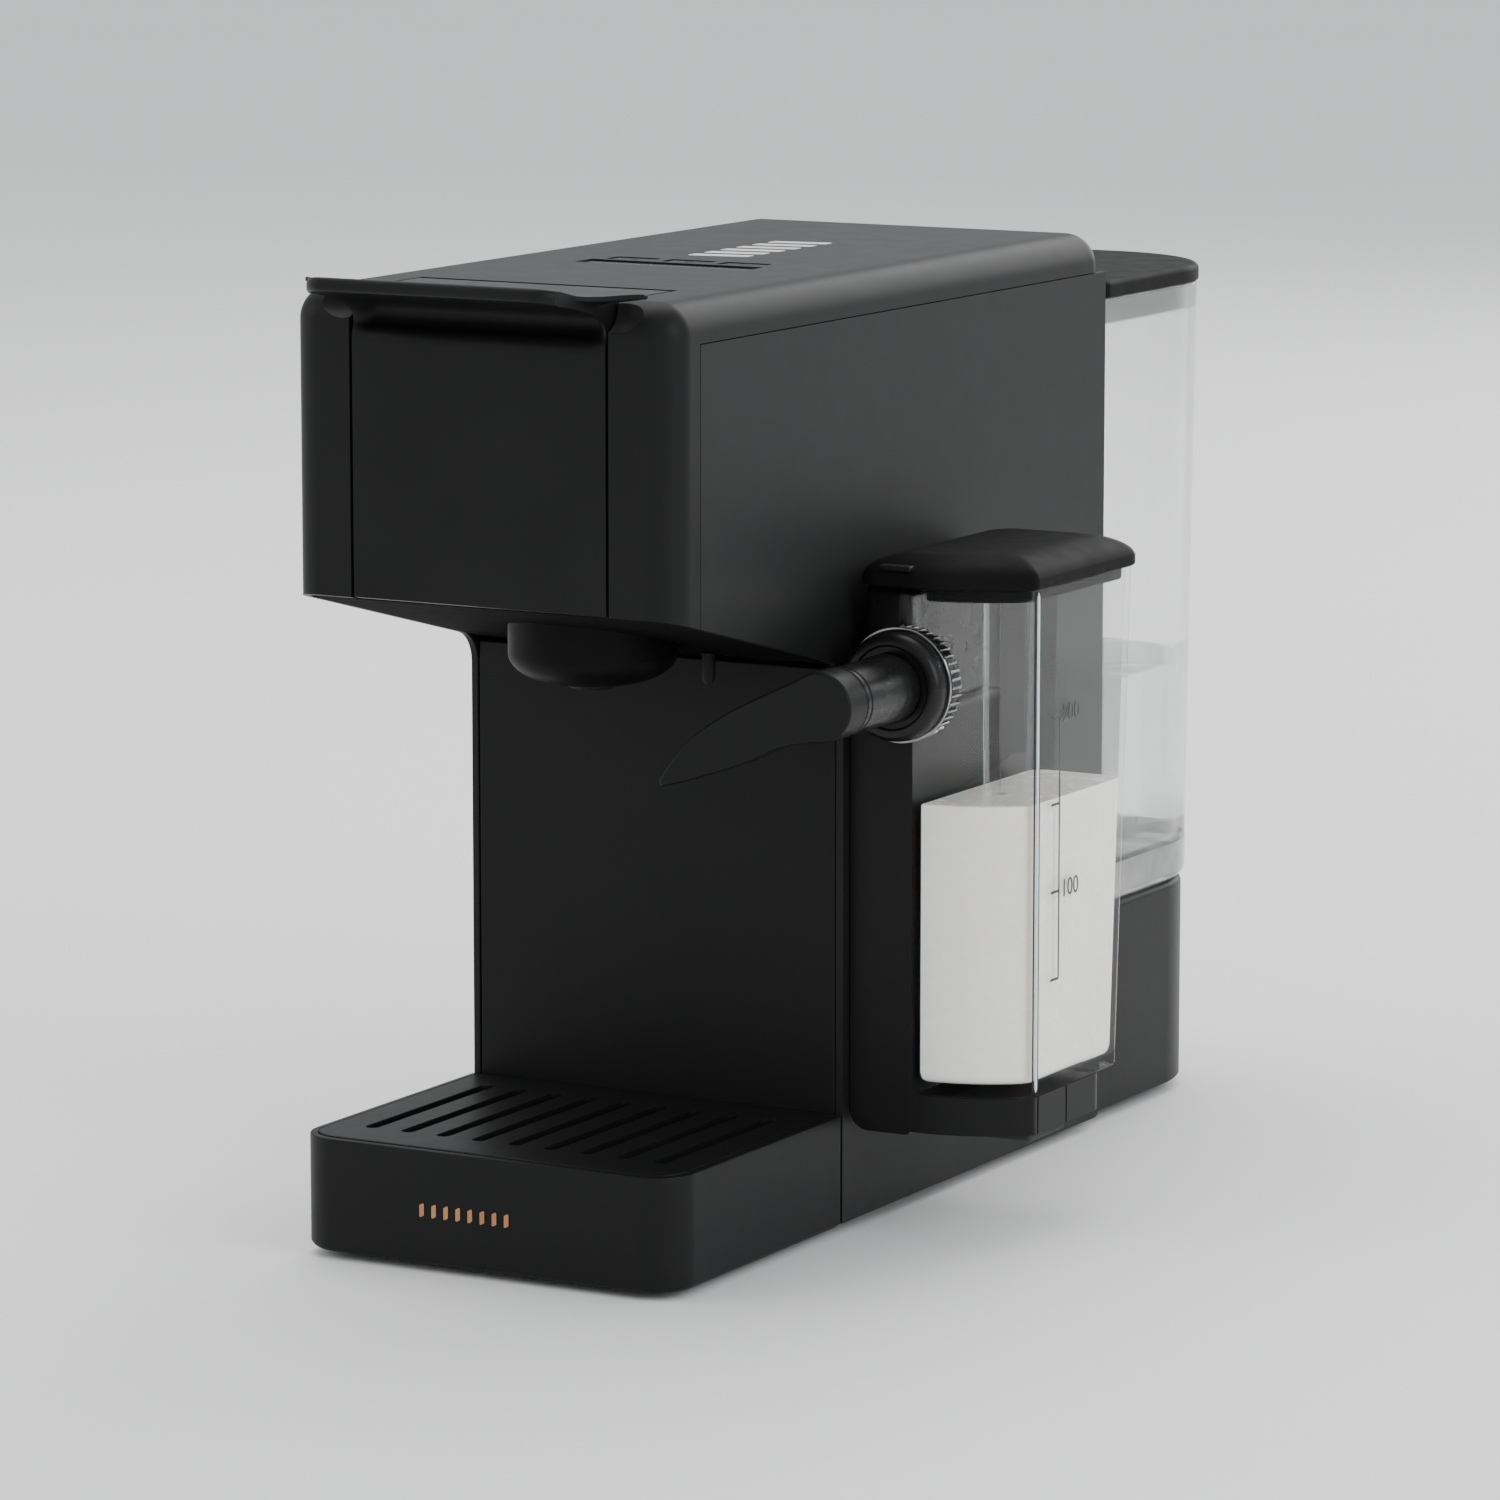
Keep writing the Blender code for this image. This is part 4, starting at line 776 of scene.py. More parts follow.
def makeVents(s):
    rib = roundBox("rib", (-s["width"] / 2, s["width"] / 2), (-1.0, s["proud"]),
        (-s["length"] / 2, s["length"] / 2), 0.45, 2)
    ribs = repeated("rearRibs", "row", atOrigin(rib), "shellBlack", Count=s["count"],
        First=place(s["x"], standShape["rear"], s["z"]), Step=(s["pitch"] * 0.001, 0, 0))
    carve(ribs, roundBox("clear", (-2, 2), (300, 400), (80, 90), 0.1, 1))
    done(ribs, "root", "shellBlack", "black_shell")


makeVents(ventShape)
print("stand and feet made")

# Brew unit

bowlShape = {"radius": 23.8, "bottom": 158.5, "y": 62.0, "mouth": 8.3, "wall": 2.2, "drop": 8.5,
    "high": 20.0}


def arcPoints(centre, radii, start, end, steps):
    # Points of an ellipse arc, angles in degrees.
    return [(centre[0] + radii[0] * math.cos(math.radians(start + (end - start) * step / steps)),
        centre[1] + radii[1] * math.sin(math.radians(start + (end - start) * step / steps)))
        for step in range(steps + 1)]


def makeBowl(s):
    r, low, wall = s["radius"], s["bottom"], s["wall"]
    middle, drop = s["mouth"], s["drop"]
    outer = [(r, low + s["high"])] + arcPoints((middle, low + drop), (r - middle, drop), 0, -88, 18)
    inner = arcPoints((middle, low + drop), (r - wall - middle, drop - wall), -90, 0, 14)
    profile = outer + [(middle + 0.3, low), (middle, low + 0.3)] + inner + [(r - wall,
        low + s["high"])]
    # The bowl's finish paints shade: it is darker than the gloss black of its slot.
    done(turned("brewBowl", profile, (0, s["y"], 0), "Z", 96, ring=True), "root", "shadedBowlBlack",
        "black_gloss", "brew_bowl")
    seat = low + wall + 0.3
    nozzle = [(10, seat + 2), (10, seat), (8, seat), (7.6, low - 0.2), (7, low - 1.0),
        (6.2, low - 1.5), (5.2, low - 1.8), (3.4, low - 1.8), (3.0, low - 1.4), (3, low),
        (6, seat + 2)]
    done(turned("coffeeOutlet", nozzle, (0, s["y"], 0), "Z", 64, ring=True), "root", "innerGrey",
        "dark_inner", "coffee_outlet")


makeBowl(bowlShape)
tipZ = underside(80) - 9.8
done(turned("hotWaterTip", [(0, 9), (1.9, 9), (1.9, 2.2), (1.5, 0.9), (0.9, 0.1), (0, 0)],
    (27, 80, tipZ), "Z", 32), "root", "innerGrey", "dark_inner", "hot_water_tip")
refined("brew_frame", "root", "steel", "steel", 0.3)
refined("brew_cage", "root", "innerGrey", "dark_inner", 0.3)
refined("brew_piston", "piston", "steel", "steel", 0.3)
refined("capsule_bin", "root", "innerGrey", "dark_inner", 0.3)
refined("steam_port", "root", "steel", "steel", 0.25)
refined("valve_seat", "root", "innerGrey", "dark_inner", 0.25)
print("brew unit made")

# Lever: one skin from the panel's foot over the neck and the lip to the hinge

leverShape = {"half": 40.0, "across": 96, "lipFrom": 260.0, "lipRise": 9.0, "hinge": (33.4, 267.0),
    "knuckle": 5.0, "foot": 187.2}
leverMiddle = {
    "fillet": [(1, 257.6), (1.2, 259.1), (1.9, 260.5), (3.0, 261.4), (4.2, 261.9)],
    "neck": [(5.3, 262.6), (6.2, 263.9), (6.5, 265.5), (6.1, 267.1), (4.6, 268.7), (1.0, 270.1),
        (-5, 271.3), (-14, 272.5), (-25.2, 273.6)],
    "band": [(-26.5, 273.9), (-27.0, 274.6), (-27.0, 276.2), (-26.5, 277.1), (-25.4, 277.5)],
    "top": [(-22, 276.8), (-17, 275.7), (-11, 274.5), (-5, 273.4), (1, 272.5), (7, 272.08),
        (13, 272.0)]}
leverEnd = {
    "fillet": [(1, 257.6), (1.05, 259.1), (1.3, 260.5), (1.6, 261.4), (1.8, 262.1)],
    "neck": [(1.9, 262.8), (1.6, 264.2), (0.6, 265.8), (-1.4, 267.4), (-4.4, 268.8), (-8.4, 270.0),
        (-12.8, 271.0), (-17.4, 271.9), (-21.6, 272.6)],
    "band": [(-22.6, 273.1), (-23.1, 273.9), (-23.1, 275.3), (-22.6, 276.2), (-21.6, 276.6)],
    "top": [(-19, 276.1), (-15, 275.2), (-10, 274.2), (-4.5, 273.3), (1, 272.5), (7, 272.08),
        (13, 272.0)]}


def easeStep(value):
    value = min(max(value, 0.0), 1.0)
    return value * value * (3 - 2 * value)


def between(stops, value):
    # Straight-line reading of a list of pairs.
    for (low, first), (high, last) in zip(stops, stops[1:]):
        if value <= high:
            return first + (last - first) * max(0.0, value - low) / (high - low)
    return stops[-1][1]


def leverHalf(y, z):
    # Half width of the lip, which draws in towards its front edge.
    stops = [(-24, 38.9), (-16, 39.1), (-8, 39.4), (0, 39.7), (10, 39.9), (30, 40.0)]
    return leverShape["half"] + (between(stops, y) - leverShape["half"]) * easeStep(
        (z - leverShape["lipFrom"]) / leverShape["lipRise"])


def leverRing(share, s):
    webbed = easeStep((abs(share) - 0.86) / 0.14)
    turnedIn = max(0.0, (abs(share) - 0.84) / 0.16) ** 2
    points = []
    for part in ("fillet", "neck", "band", "top"):
        count = len(leverMiddle[part])
        for index, (here, there) in enumerate(zip(leverMiddle[part], leverEnd[part])):
            reach = index / (count - 1) if part == "neck" else 0.0
            mix = webbed + (turnedIn - webbed) * reach ** 2 if part in ("fillet",
                "neck") else turnedIn
            points.append(Vector(here).lerp(Vector(there), mix))
    line = [Vector((1, s["foot"])), Vector((1, 215)), Vector((1, 240))] + smoothLine(points, 4)
    line += [Vector((24, 272)), Vector((36.0, 272)), Vector((36.8, 271.75)), Vector((37.5, 271.1)),
        Vector((38.0, 270.2)), Vector((38.3, 269.0))]
    hingeY, hingeZ = s["hinge"]
    line += [Vector((hingeY + s["knuckle"] * math.sin(turn), hingeZ
        + s["knuckle"] * math.cos(turn))) for turn in (math.pi * (0.45 + 0.75 * step / 14)
        for step in range(15))]
    line += [Vector(point) for point in ((28.6, 268.9), (13.0, 269.2), (11.0, 268.0), (10.2, 265.5),
        (9.6, 262.6), (7.4, 259.8), (4.6, 257.8), (4.0, 255.0), (4.0, 240), (4.0, 215),
        (4.0, s["foot"] - 0.7))]
    return [(share * leverHalf(y, z), y, z) for y, z in line]


def makeLever(s):
    shares = [math.sin(math.pi / 2 * (2 * step / s["across"] - 1))
        for step in range(s["across"] + 1)]
    lever = lofted("lever", [leverRing(share, s) for share in shares])
    done(eased(lever, 0.55, 3, 46), "lever", "leverBlack", "black_shell", "lever_panel",
        "lever_lip", angle=42)


makeLever(leverShape)

# Thin plates that carry the lip's two ends out over the side strips.
# Their roots lie inside the lip.
wingShape = {"thick": (1.5, 1.2, 0.55, 0.25), "inset": (0.45, 0.0, 0.0, 0.35), "curl": 2.2,
    "curlFrom": 37.0, "curlRun": 17.0,
    "outline": [(31, 0.45), (31, -17), (36, -17), (38.9, -14.2), (41.2, -10.2), (44.2, -6.6),
        (48.2, -3.8), (52.0, -2.0), (53.6, -0.9), (53.8, 0.0), (53.2, 0.45), (46, 0.45),
        (39, 0.45)],
    "top": [(-19, 276.1), (-15, 275.2), (-10, 274.2), (-4.5, 273.3), (1, 272.5)]}


def makeWings(s):
    wings = []
    for side in (-1, 1):
        rings = [[(side * x, y, between(s["top"], y) - under + s["curl"]
            * easeStep((x - s["curlFrom"]) / s["curlRun"])) for x,
            y in drawnIn(s["outline"], inset)] for under, inset in zip(s["thick"], s["inset"])]
        wings.append(lofted("wing", rings))
    done(joined("lipWings", *wings), "lever", "leverBlack", "black_shell")


makeWings(wingShape)
print("lever made")

# Keys and marks

keyShape = {"width": 14.0, "depth": 7.0, "y": 116.3, "top": 271.8, "low": 268.0, "pitch": 18.0,
    "signs": (1.3, 1.7, 2.1)}


def makeKeys(s):
    for index, node in enumerate(("key_left", "key_middle", "key_right")):
        x = (index - 1) * s["pitch"]
        cap = roundBox("cap", (x - s["width"] / 2, x + s["width"] / 2),
            (s["y"] - s["depth"] / 2, s["y"] + s["depth"] / 2), (s["low"], s["top"]), 0.8, 4)
        flange = roundBox("flange", (x - 8, x + 8), (s["y"] - 4.5, s["y"] + 4.5), (267.3, 269.5),
            0.3, 2)
        stem = roundBox("stem", (x - 2, x + 2), (s["y"] - 2, s["y"] + 2), (263.8, 268.8), 0.3, 2)
        carve(cap, flange, stem, operation="UNION")
        cap.name = "key" + node.split("_")[1].capitalize()
        done(cap, node + "_body", "shellBlack", "black_shell", node)
        # A cup sign, ring and saucer line, larger for a longer drink.
        size = s["signs"][index]
        ring = turned("ring", [(size, 0.07), (size, -0.1), (size - 0.4, -0.1), (size - 0.4, 0.07)],
            (x, s["y"] + 0.4, s["top"]), "Z", 32, ring=True)
        line = roundBox("line", (x - size, x + size), (s["y"] - 2.5, s["y"] - 2.15),
            (s["top"] - 0.1, s["top"] + 0.07), 0.05, 1)
        done(joined("keySign" + node.split("_")[1].capitalize(), ring, line), node + "_body",
            "printAndShadeGrey", "black_shell")


makeKeys(keyShape)

markShape = {"count": 6, "pitch": 9.4, "firstY": 137.0, "x": -1.0, "halfX": 9.0, "halfY": 2.6,
    "slant": 3.0,
    "top": 272.0, "proud": 0.08}


def makeTopMark(s):
    # a plain row of slanted chips, printed on the top
    long, wide, slant = s["halfX"], s["halfY"], s["slant"]
    outline = roundedOutline([(-long, -wide - slant / 2, 1), (long, -wide + slant / 2, 1),
        (long, wide + slant / 2, 1), (-long, wide - slant / 2, 1)], 5)
    chip = extruded("chip", outline, "XY", -0.1, s["proud"])
    done(repeated("topMark", "row", atOrigin(chip), "markWhite", Count=s["count"],
        First=place(s["x"], s["firstY"], s["top"]), Step=(0, s["pitch"] * 0.001, 0)), "root",
        "markWhite", "black_shell")


makeTopMark(markShape)
print("keys and marks made")

# Drip tray and grate

trayShape = {"half": 61.0, "back": 96.2, "corner": 12.0, "low": 2.0, "top": 34.4, "wall": 2.2,
    "floor": 3.5,
    "grateTop": 34.7, "grateThick": 3.2, "ledge": 2.0}


def trayOutline(inset):
    s = trayShape
    corner = max(s["corner"] - inset, 1)
    return roundedOutline([(-s["half"] + inset, inset, corner), (s["half"] - inset, inset, corner),
        (s["half"] - inset, s["back"] - inset, 1.2), (-s["half"] + inset, s["back"] - inset, 1.2)],
        18)


def makeTray(s):
    levels = [(s["low"], 1.6), (s["low"] + 0.5, 0.8), (s["low"] + 1.6, 0.0), (s["top"] - 0.5, 0.0),
        (s["top"] - 0.15, 0.15), (s["top"], 0.5)]
    rings = [[(u, v, z) for u, v in trayOutline(inset)] for z, inset in levels]
    seat = s["grateTop"] - s["grateThick"] - 0.3
    inner = [(s["top"], s["wall"] - 0.3), (s["top"] - 0.3, s["wall"]), (seat, s["wall"]),
        (seat, s["wall"] + s["ledge"]), (s["low"] + s["floor"] + 3, s["wall"] + s["ledge"]),
        (s["low"] + s["floor"] + 0.8, s["wall"] + s["ledge"] + 0.8),
        (s["low"] + s["floor"], s["wall"] + s["ledge"] + 3)]
    rings += [[(u, v, z) for u, v in trayOutline(inset)] for z, inset in inner]
    done(lofted("dripTray", rings), "tray", "shellBlack", "black_shell", "drip_tray")


makeTray(trayShape)

grateShape = {"slots": 9, "pitch": 11.6, "slot": 4.0, "front": 16.5, "back": 81.5}


def makeGrate(s):
    inset = trayShape["wall"] + 0.3
    low, top = trayShape["grateTop"] - trayShape["grateThick"], trayShape["grateTop"]
    outline = trayOutline(inset)
    plate = lofted("plate", [[(u, v, z) for u, v in trayOutline(inset + pull)] for z,
        pull in ((low, 0.3), (low + 0.3, 0), (top - 0.5, 0), (top - 0.15, 0.15), (top, 0.5))])
    edge = (s["slots"] - 1) / 2 * s["pitch"] + s["slot"] / 2
    window = roundedOutline([(-edge, s["front"], 2), (edge, s["front"], 2), (edge, s["back"], 2),
        (-edge, s["back"], 2)], 8)
    carve(plate, extruded("window", window, "XY", low - 5, top + 5))
    half, flare, r = (s["pitch"] - s["slot"]) / 2, s["pitch"] / 2 - 0.01, s["slot"] / 2
    length = (s["back"] - s["front"]) / 2
    side = [(flare, -length - 0.4), (flare, -length)]
    side += [(half + r - r * math.sin(turn), -length + r - r * math.cos(turn))
        for turn in (math.pi / 2 * step / 6 for step in range(7))]
    side += [(u, -v) for u, v in reversed(side)]
    bar = extruded("bar", side + [(-u, -v) for u, v in side], "XY", low + 0.1, top - 0.02)
    bars = repeated("bars", "row", atOrigin(eased(bar, 0.35, 2, 60)), "innerGrey",
        Count=s["slots"] - 1, First=place(-(s["slots"] - 2) / 2 * s["pitch"],
        (s["front"] + s["back"]) / 2, 0), Step=(s["pitch"] * 0.001, 0, 0))
    done(joined("trayGrate", eased(plate, 0.3, 2, 60), bars), "grate", "shellBlack", "dark_inner",
        "tray_grate")


makeGrate(grateShape)

trayMark = {"count": 8, "pitch": 3.9, "x": -19.0, "z": 17.5, "proud": 0.25}


def makeTrayMark(s):
    outline = roundedOutline([(-0.75, -2.2, 0.35), (0.75, -1.4, 0.35), (0.75, 2.2, 0.35),
        (-0.75, 1.4, 0.35)], 5)
    chip = extruded("chip", outline, "XZ", -s["proud"], 0.1)
    done(repeated("trayMark", "row", atOrigin(chip), "markCopper", Count=s["count"],
        First=place(s["x"], 0, s["z"]), Step=(s["pitch"] * 0.001, 0, 0)), "tray", "markCopper",
        "black_shell")


makeTrayMark(trayMark)
print("tray and grate made")

# Water tank

tankShape = {"half": 60.5, "front": 261.6, "rear": 357.5, "radius": 42.0, "taper": 2.5, "wall": 2.0,
    "low": 67.0, "rim": 251.5, "floor": 3.2, "level": 135.0,
    "band": [(2.4, 0.04), (2.4, -0.08), (2.7, -0.16), (11.6, -0.16), (11.9, -0.08), (11.9, 0.04)]}


def tankRing(z, inset):
    s = tankShape
    rise = (z - s["low"]) / (s["rim"] - s["low"])
    outline = roundedPlan(s["half"] - s["taper"] / 2 * (1 - rise) - inset, s["front"] + inset,
        s["rear"] - s["taper"] * (1 - rise) - inset, s["radius"] - inset, max(3 - inset, 0.8))
    return [(u, v, z) for u, v in outline]


def makeTank(s):
    low, rim, wall = s["low"], s["rim"], s["wall"]
    outer = [tankRing(low + up, inset) for up, inset in ((0, 2.0), (0.4, 1.1), (1.1, 0.4),
        (2.2, 0))]
    outer += [tankRing(low + (rim - low) * share, 0) for share in (0.25, 0.5, 0.75)]
    outer += [tankRing(rim - 0.4, 0), tankRing(rim, 0.4)]
    inner = [tankRing(rim, wall - 0.4), tankRing(rim - 0.4, wall)]
    inner += [tankRing(low + (rim - low) * share, wall) for share in (0.75, 0.5, 0.25)]
    inner += [tankRing(low + s["floor"] + up, wall + inset) for up,
        inset in ((5, 0), (2.4, 0.7), (0.8, 2.2), (0, 5))]
    tank = lofted("waterTank", outer + inner)
    carve(tank, cutterRod("drain", 5.3, 10, (0, 310, low), "Z", 40))
    done(tank, "tank", "clearTank", "clear_plastic", "water_tank")
    band = [tankRing(low + up, out) for up, out in s["band"]]
    done(looped("tankBand", band), "tank", "chrome", "clear_plastic")
    gap = 0.12
    fill = [tankRing(low + s["floor"] + up + gap, wall + inset + gap) for up,
        inset in ((0, 5), (0.8, 2.2), (2.4, 0.7), (5, 0))]
    fill += [tankRing(low + s["floor"] + 30, wall + gap), tankRing(s["level"], wall + gap)]
    done(carve(lofted("tankWater", fill), cutterRod("valveRoom", 9.6, 20, (0, 310, low), "Z", 40)),
        "tank", "waterClear", "clear_plastic")


makeTank(tankShape)
refined("tank_valve", "tank", "innerGrey", "dark_inner", 0.2)

lidShape = {"half": 61.0, "front": 261.3, "rear": 358.5, "radius": 43.0, "low": 251.8, "top": 257.3,
    "skirt": 8.0}


def makeTankLid(s):
    outline = roundedPlan(s["half"], s["front"], s["rear"], s["radius"], 3)
    rings = [[(u, v, s["low"]) for u, v in drawnIn(outline, 0.6)],
        [(u, v, s["low"] + 0.5) for u, v in outline]]
    rings += [[(u, v, z) for u, v in drawnIn(outline, inset)] for z,
        inset in quarterRise(s["top"] - 1.9, s["top"] - 0.15, 2.2)]
    rings += [[(u, v, s["top"]) for u, v in drawnIn(outline, 6)]]
    done(lofted("tankLid", rings), "tank_cover", "lidBlack", "black_shell", "tank_lid")
    gap = tankShape["wall"] + 0.6
    rings = []
    for z, inset in ((s["low"] - s["skirt"], gap + 0.4), (s["low"] - s["skirt"] + 0.4, gap),
            (s["low"] - 0.3, gap), (s["low"] - 0.3, gap + 2), (s["low"] - s["skirt"], gap + 2)):
        rings.append([(u, v, z) for u, v in roundedPlan(tankShape["half"] - inset,
            tankShape["front"] + inset, tankShape["rear"] - inset, tankShape["radius"] - inset,
            1.2)])
    done(looped("lidSkirt", rings), "tank_cover", "skirtGrey", "dark_inner", "lid_skirt")


makeTankLid(lidShape)
print("water tank made")

# Milk holder

jugShape = {"left": 81.6, "side": 114.0, "front": 99.5, "edge": 112.5, "rearLow": 168.0,
    "rearTop": 176.0,
    "low": 42.0, "rim": 185.7, "wall": 1.6, "floor": 3.2, "milk": 125.0}


def jugOutline(rear, inset):
    # Plan of the jug: its front bows back to a crisp right edge.
    s = jugShape
    steps = 30
    across, back = s["side"] - s["left"], s["edge"] - s["front"]
    radius = (across ** 2 + back ** 2) / (2 * back)
    arc = radius - inset
    first, last = math.asin(inset / arc), math.asin((across - inset) / arc)
    turns = [first + (last - first) * step / steps for step in range(steps + 1)]
    bow = [(s["left"] + arc * math.sin(turn), s["front"] + radius - arc * math.cos(turn))
        for turn in turns]
    # The right edge: crisp outside, rounder inside.
    crisp = inset < 1
    edgeX, edgeY = bow[-1]
    edge, after = Vector((edgeX, edgeY)), Vector((edgeX, edgeY + (0.8 if crisp else 3.6)))
    before = Vector(bow[-4]).lerp(edge, 0.75 if crisp else 0.0)
    shares = [step / 6 for step in range(7)]
    bow = bow[:-4] + [tuple(before.lerp(edge, share).lerp(edge.lerp(after, share), share))
        for share in shares]
    corner = 7.0 - inset
    turns = [math.pi / 2 * step / 10 for step in range(11)]
    rearRight = [(s["side"] - inset - corner * (1 - math.cos(turn)),
        rear - inset - corner * (1 - math.sin(turn))) for turn in turns]
    rearLeft = [(s["left"] + inset + corner * (1 - math.sin(turn)),
        rear - inset - corner * (1 - math.cos(turn))) for turn in turns]
    return bow + rearRight + rearLeft


holderShape = {"left": 61.3, "right": 81.0, "front": 100.0, "back": 158.0, "low": 30.0,
    "top": 150.0,
    "shelfLow": 31.0, "shelfTop": 41.7, "grooves": (115.2, 133.0)}


def makeHolder(s):
    post = extruded("milkHolder", roundedOutline([(s["left"], s["low"], 6),
        (s["right"], s["low"], 2), (s["right"], s["top"], 3), (s["left"], s["top"], 1)], 10), "XZ",
        s["front"], s["back"])
    plan = [(x if x > jugShape["left"] + 2 else s["right"] - 1, y) for x,
        y in jugOutline(s["back"], 0.6)]
    shelf = extruded("shelf", plan, "XY", s["shelfLow"], s["shelfTop"])
    carve(post, shelf, operation="UNION")
    hollow = roundBox("hollow", (s["left"] + 2.2, s["right"] - 2.2), (s["front"] + 2.2, 200),
        (s["low"] + 4, s["top"] - 2.2), 2, 4)
    padHole = roundBox("padHole", (s["right"] + 2.2, 111.2), (115, 138), (0, s["shelfLow"] + 3),
        0.2, 1)
    grooves = [roundBox("groove", (112.8, 120), (y - 0.35, y + 0.35), (20, 60), 0.1, 1)
        for y in s["grooves"]]
    carve(post, hollow, padHole, *grooves)
    done(eased(post, 0.5, 3, 50), "root", "shellBlack", "black_shell", "milk_holder")
    done(roundBox("shelfPad", (83.5, 110.9), (115.3, 137.7), (28, 33.7), 1.2, 4), "root",
        "rubberBlack", "rubber", "shelf_pad")


makeHolder(holderShape)
print("milk holder made")

# Milk jug


def jugRing(z, inset):
    s = jugShape
    rise = (z - s["low"]) / (s["rim"] - s["low"])
    return [(x, y, z) for x, y in jugOutline(s["rearLow"] + (s["rearTop"] - s["rearLow"]) * rise,
        inset)]


def makeJug(s):
    low, rim, wall = s["low"], s["rim"], s["wall"]
    outer = [jugRing(low + up, inset) for up, inset in ((0, 1.0), (0.3, 0.4), (0.9, 0))]
    outer += [jugRing(low + (rim - low) * share, 0) for share in (0.25, 0.5, 0.75)]
    outer += [jugRing(rim - 0.3, 0), jugRing(rim, 0.3)]
    inner = [jugRing(rim, wall - 0.3), jugRing(rim - 0.3, wall)]
    inner += [jugRing(low + (rim - low) * share, wall) for share in (0.75, 0.5, 0.25)]
    inner += [jugRing(low + s["floor"] + up, wall + inset) for up,
        inset in ((3, 0), (1.2, 0.4), (0.3, 1.2), (0, 2.4))]
    done(lofted("milkContainer", outer + inner), "jug", "clearJug", "clear_plastic",
        "milk_container")
    gap = 0.1
    fill = [jugRing(low + s["floor"] + up + gap, wall + inset + gap) for up,
        inset in ((0, 2.4), (0.3, 1.2), (1.2, 0.4), (3, 0))]
    fill += [jugRing(80, wall + gap), jugRing(s["milk"] - 0.4, wall + gap),
        jugRing(s["milk"] - 0.1, wall + 0.5), jugRing(s["milk"] - 0.25, wall + 2.0)]
    milk = lofted("jugMilk", fill)
    straw = cutterRod("strawRoom", 3.1, 90, (93.0, 128, 125), "Z", 32)
    done(carve(milk, straw), "jug", "milkWhite", "clear_plastic")


makeJug(jugShape)

tickShape = {"line": 126.0, "low": 74.0, "high": 149.0, "step": -25.0, "count": 4, "length": 5.0,
    "thick": 0.75}


def makeTicks(s):
    face = jugShape["side"]
    tick = roundBox("tick", (0, 0.12), (-s["length"], 0), (-s["thick"] / 2, s["thick"] / 2), 0.04,
        1)
    ticks = repeated("ticks", "row", atOrigin(tick), "printAndShadeGrey", Count=s["count"],
        First=place(face, s["line"], s["high"]), Step=(0, 0, s["step"] * 0.001))
    half = s["thick"] / 2
    post = roundBox("post", (face, face + 0.12), (s["line"] - half, s["line"] + half),
        (s["low"], s["high"]), 0.04, 1)
    parts = [ticks, post]
    for words, z in (("200", s["high"]), ("100", s["high"] + 2 * s["step"])):
        letters = bpy.data.curves.new("number", "FONT")
        letters.body = words
        letters.size = 0.0072
        letters.extrude = 0.00005
        letters.align_y = "CENTER"
        drawn = newObject("number", letters)
        bpy.context.view_layer.update()
        mesh = bpy.data.meshes.new_from_object(drawn.evaluated_get(
            bpy.context.evaluated_depsgraph_get()))
        bpy.data.objects.remove(drawn, do_unlink=True)
        turn = Matrix(((0, 0, 1, 0), (1, 0, 0, 0), (0, 1, 0, 0), (0, 0, 0, 1)))
        mesh.transform(Matrix.Translation(place(face + 0.06, s["line"] + 1.6, z)) @ turn)
        shape = bmesh.new()
        shape.from_mesh(mesh)
        parts.append(fromShape("number", shape))
    done(joined("jugScale", *parts), "jug", "printAndShadeGrey", "clear_plastic")


makeTicks(tickShape)

# Thin strips down the crisp corner that paint its light, the white one first as a painted
# highlight, then two painted shade lines: x, y and half width of each.
edgeShape = {"low": 43.4, "top": 185.2, "taper": 1.2,
    "strips": [(113.95, 112.55, 0.42), (114.0, 113.35, 0.30), (113.3, 111.95, 0.26)]}


def makeEdges(s):
    strips = []
    for x, y, half in s["strips"]:
        rings = []
        for z, share in ((s["low"], 0.15), (s["low"] + s["taper"], 1), (s["top"] - s["taper"], 1),
                (s["top"], 0.15)):
            rings.append([(x + half * share * math.cos(turn), y + half * share * math.sin(turn), z)
                for turn in (math.pi / 4 * step for step in range(8))])
        strips.append(lofted("strip", rings))
    # The white strip is a painted highlight on the jug's corner.
    done(strips[0], "jug", "paintedHighlightWhite", "clear_plastic")
    # The two dark strips are painted shade lines beside the corner's painted highlight.
    done(joined("edgeShadow", *strips[1:]), "jug", "printAndShadeGrey", "clear_plastic")


makeEdges(edgeShape)

headShape = {"x": (65.0, 79.5), "y": (100.0, 150.0), "z": (150.3, 185.7), "edge": 3.0}
done(roundBox("frothHead", headShape["x"], headShape["y"], headShape["z"], headShape["edge"], 6),
    "jug", "glossBlack", "black_shell", "froth_head")

jugLidShape = {"left": 64.5, "right": 115.2, "front": 96.5, "edge": 109.5, "back": 178.0,
    "low": 186.0,
    "top": 194.8, "plug": 4.0}


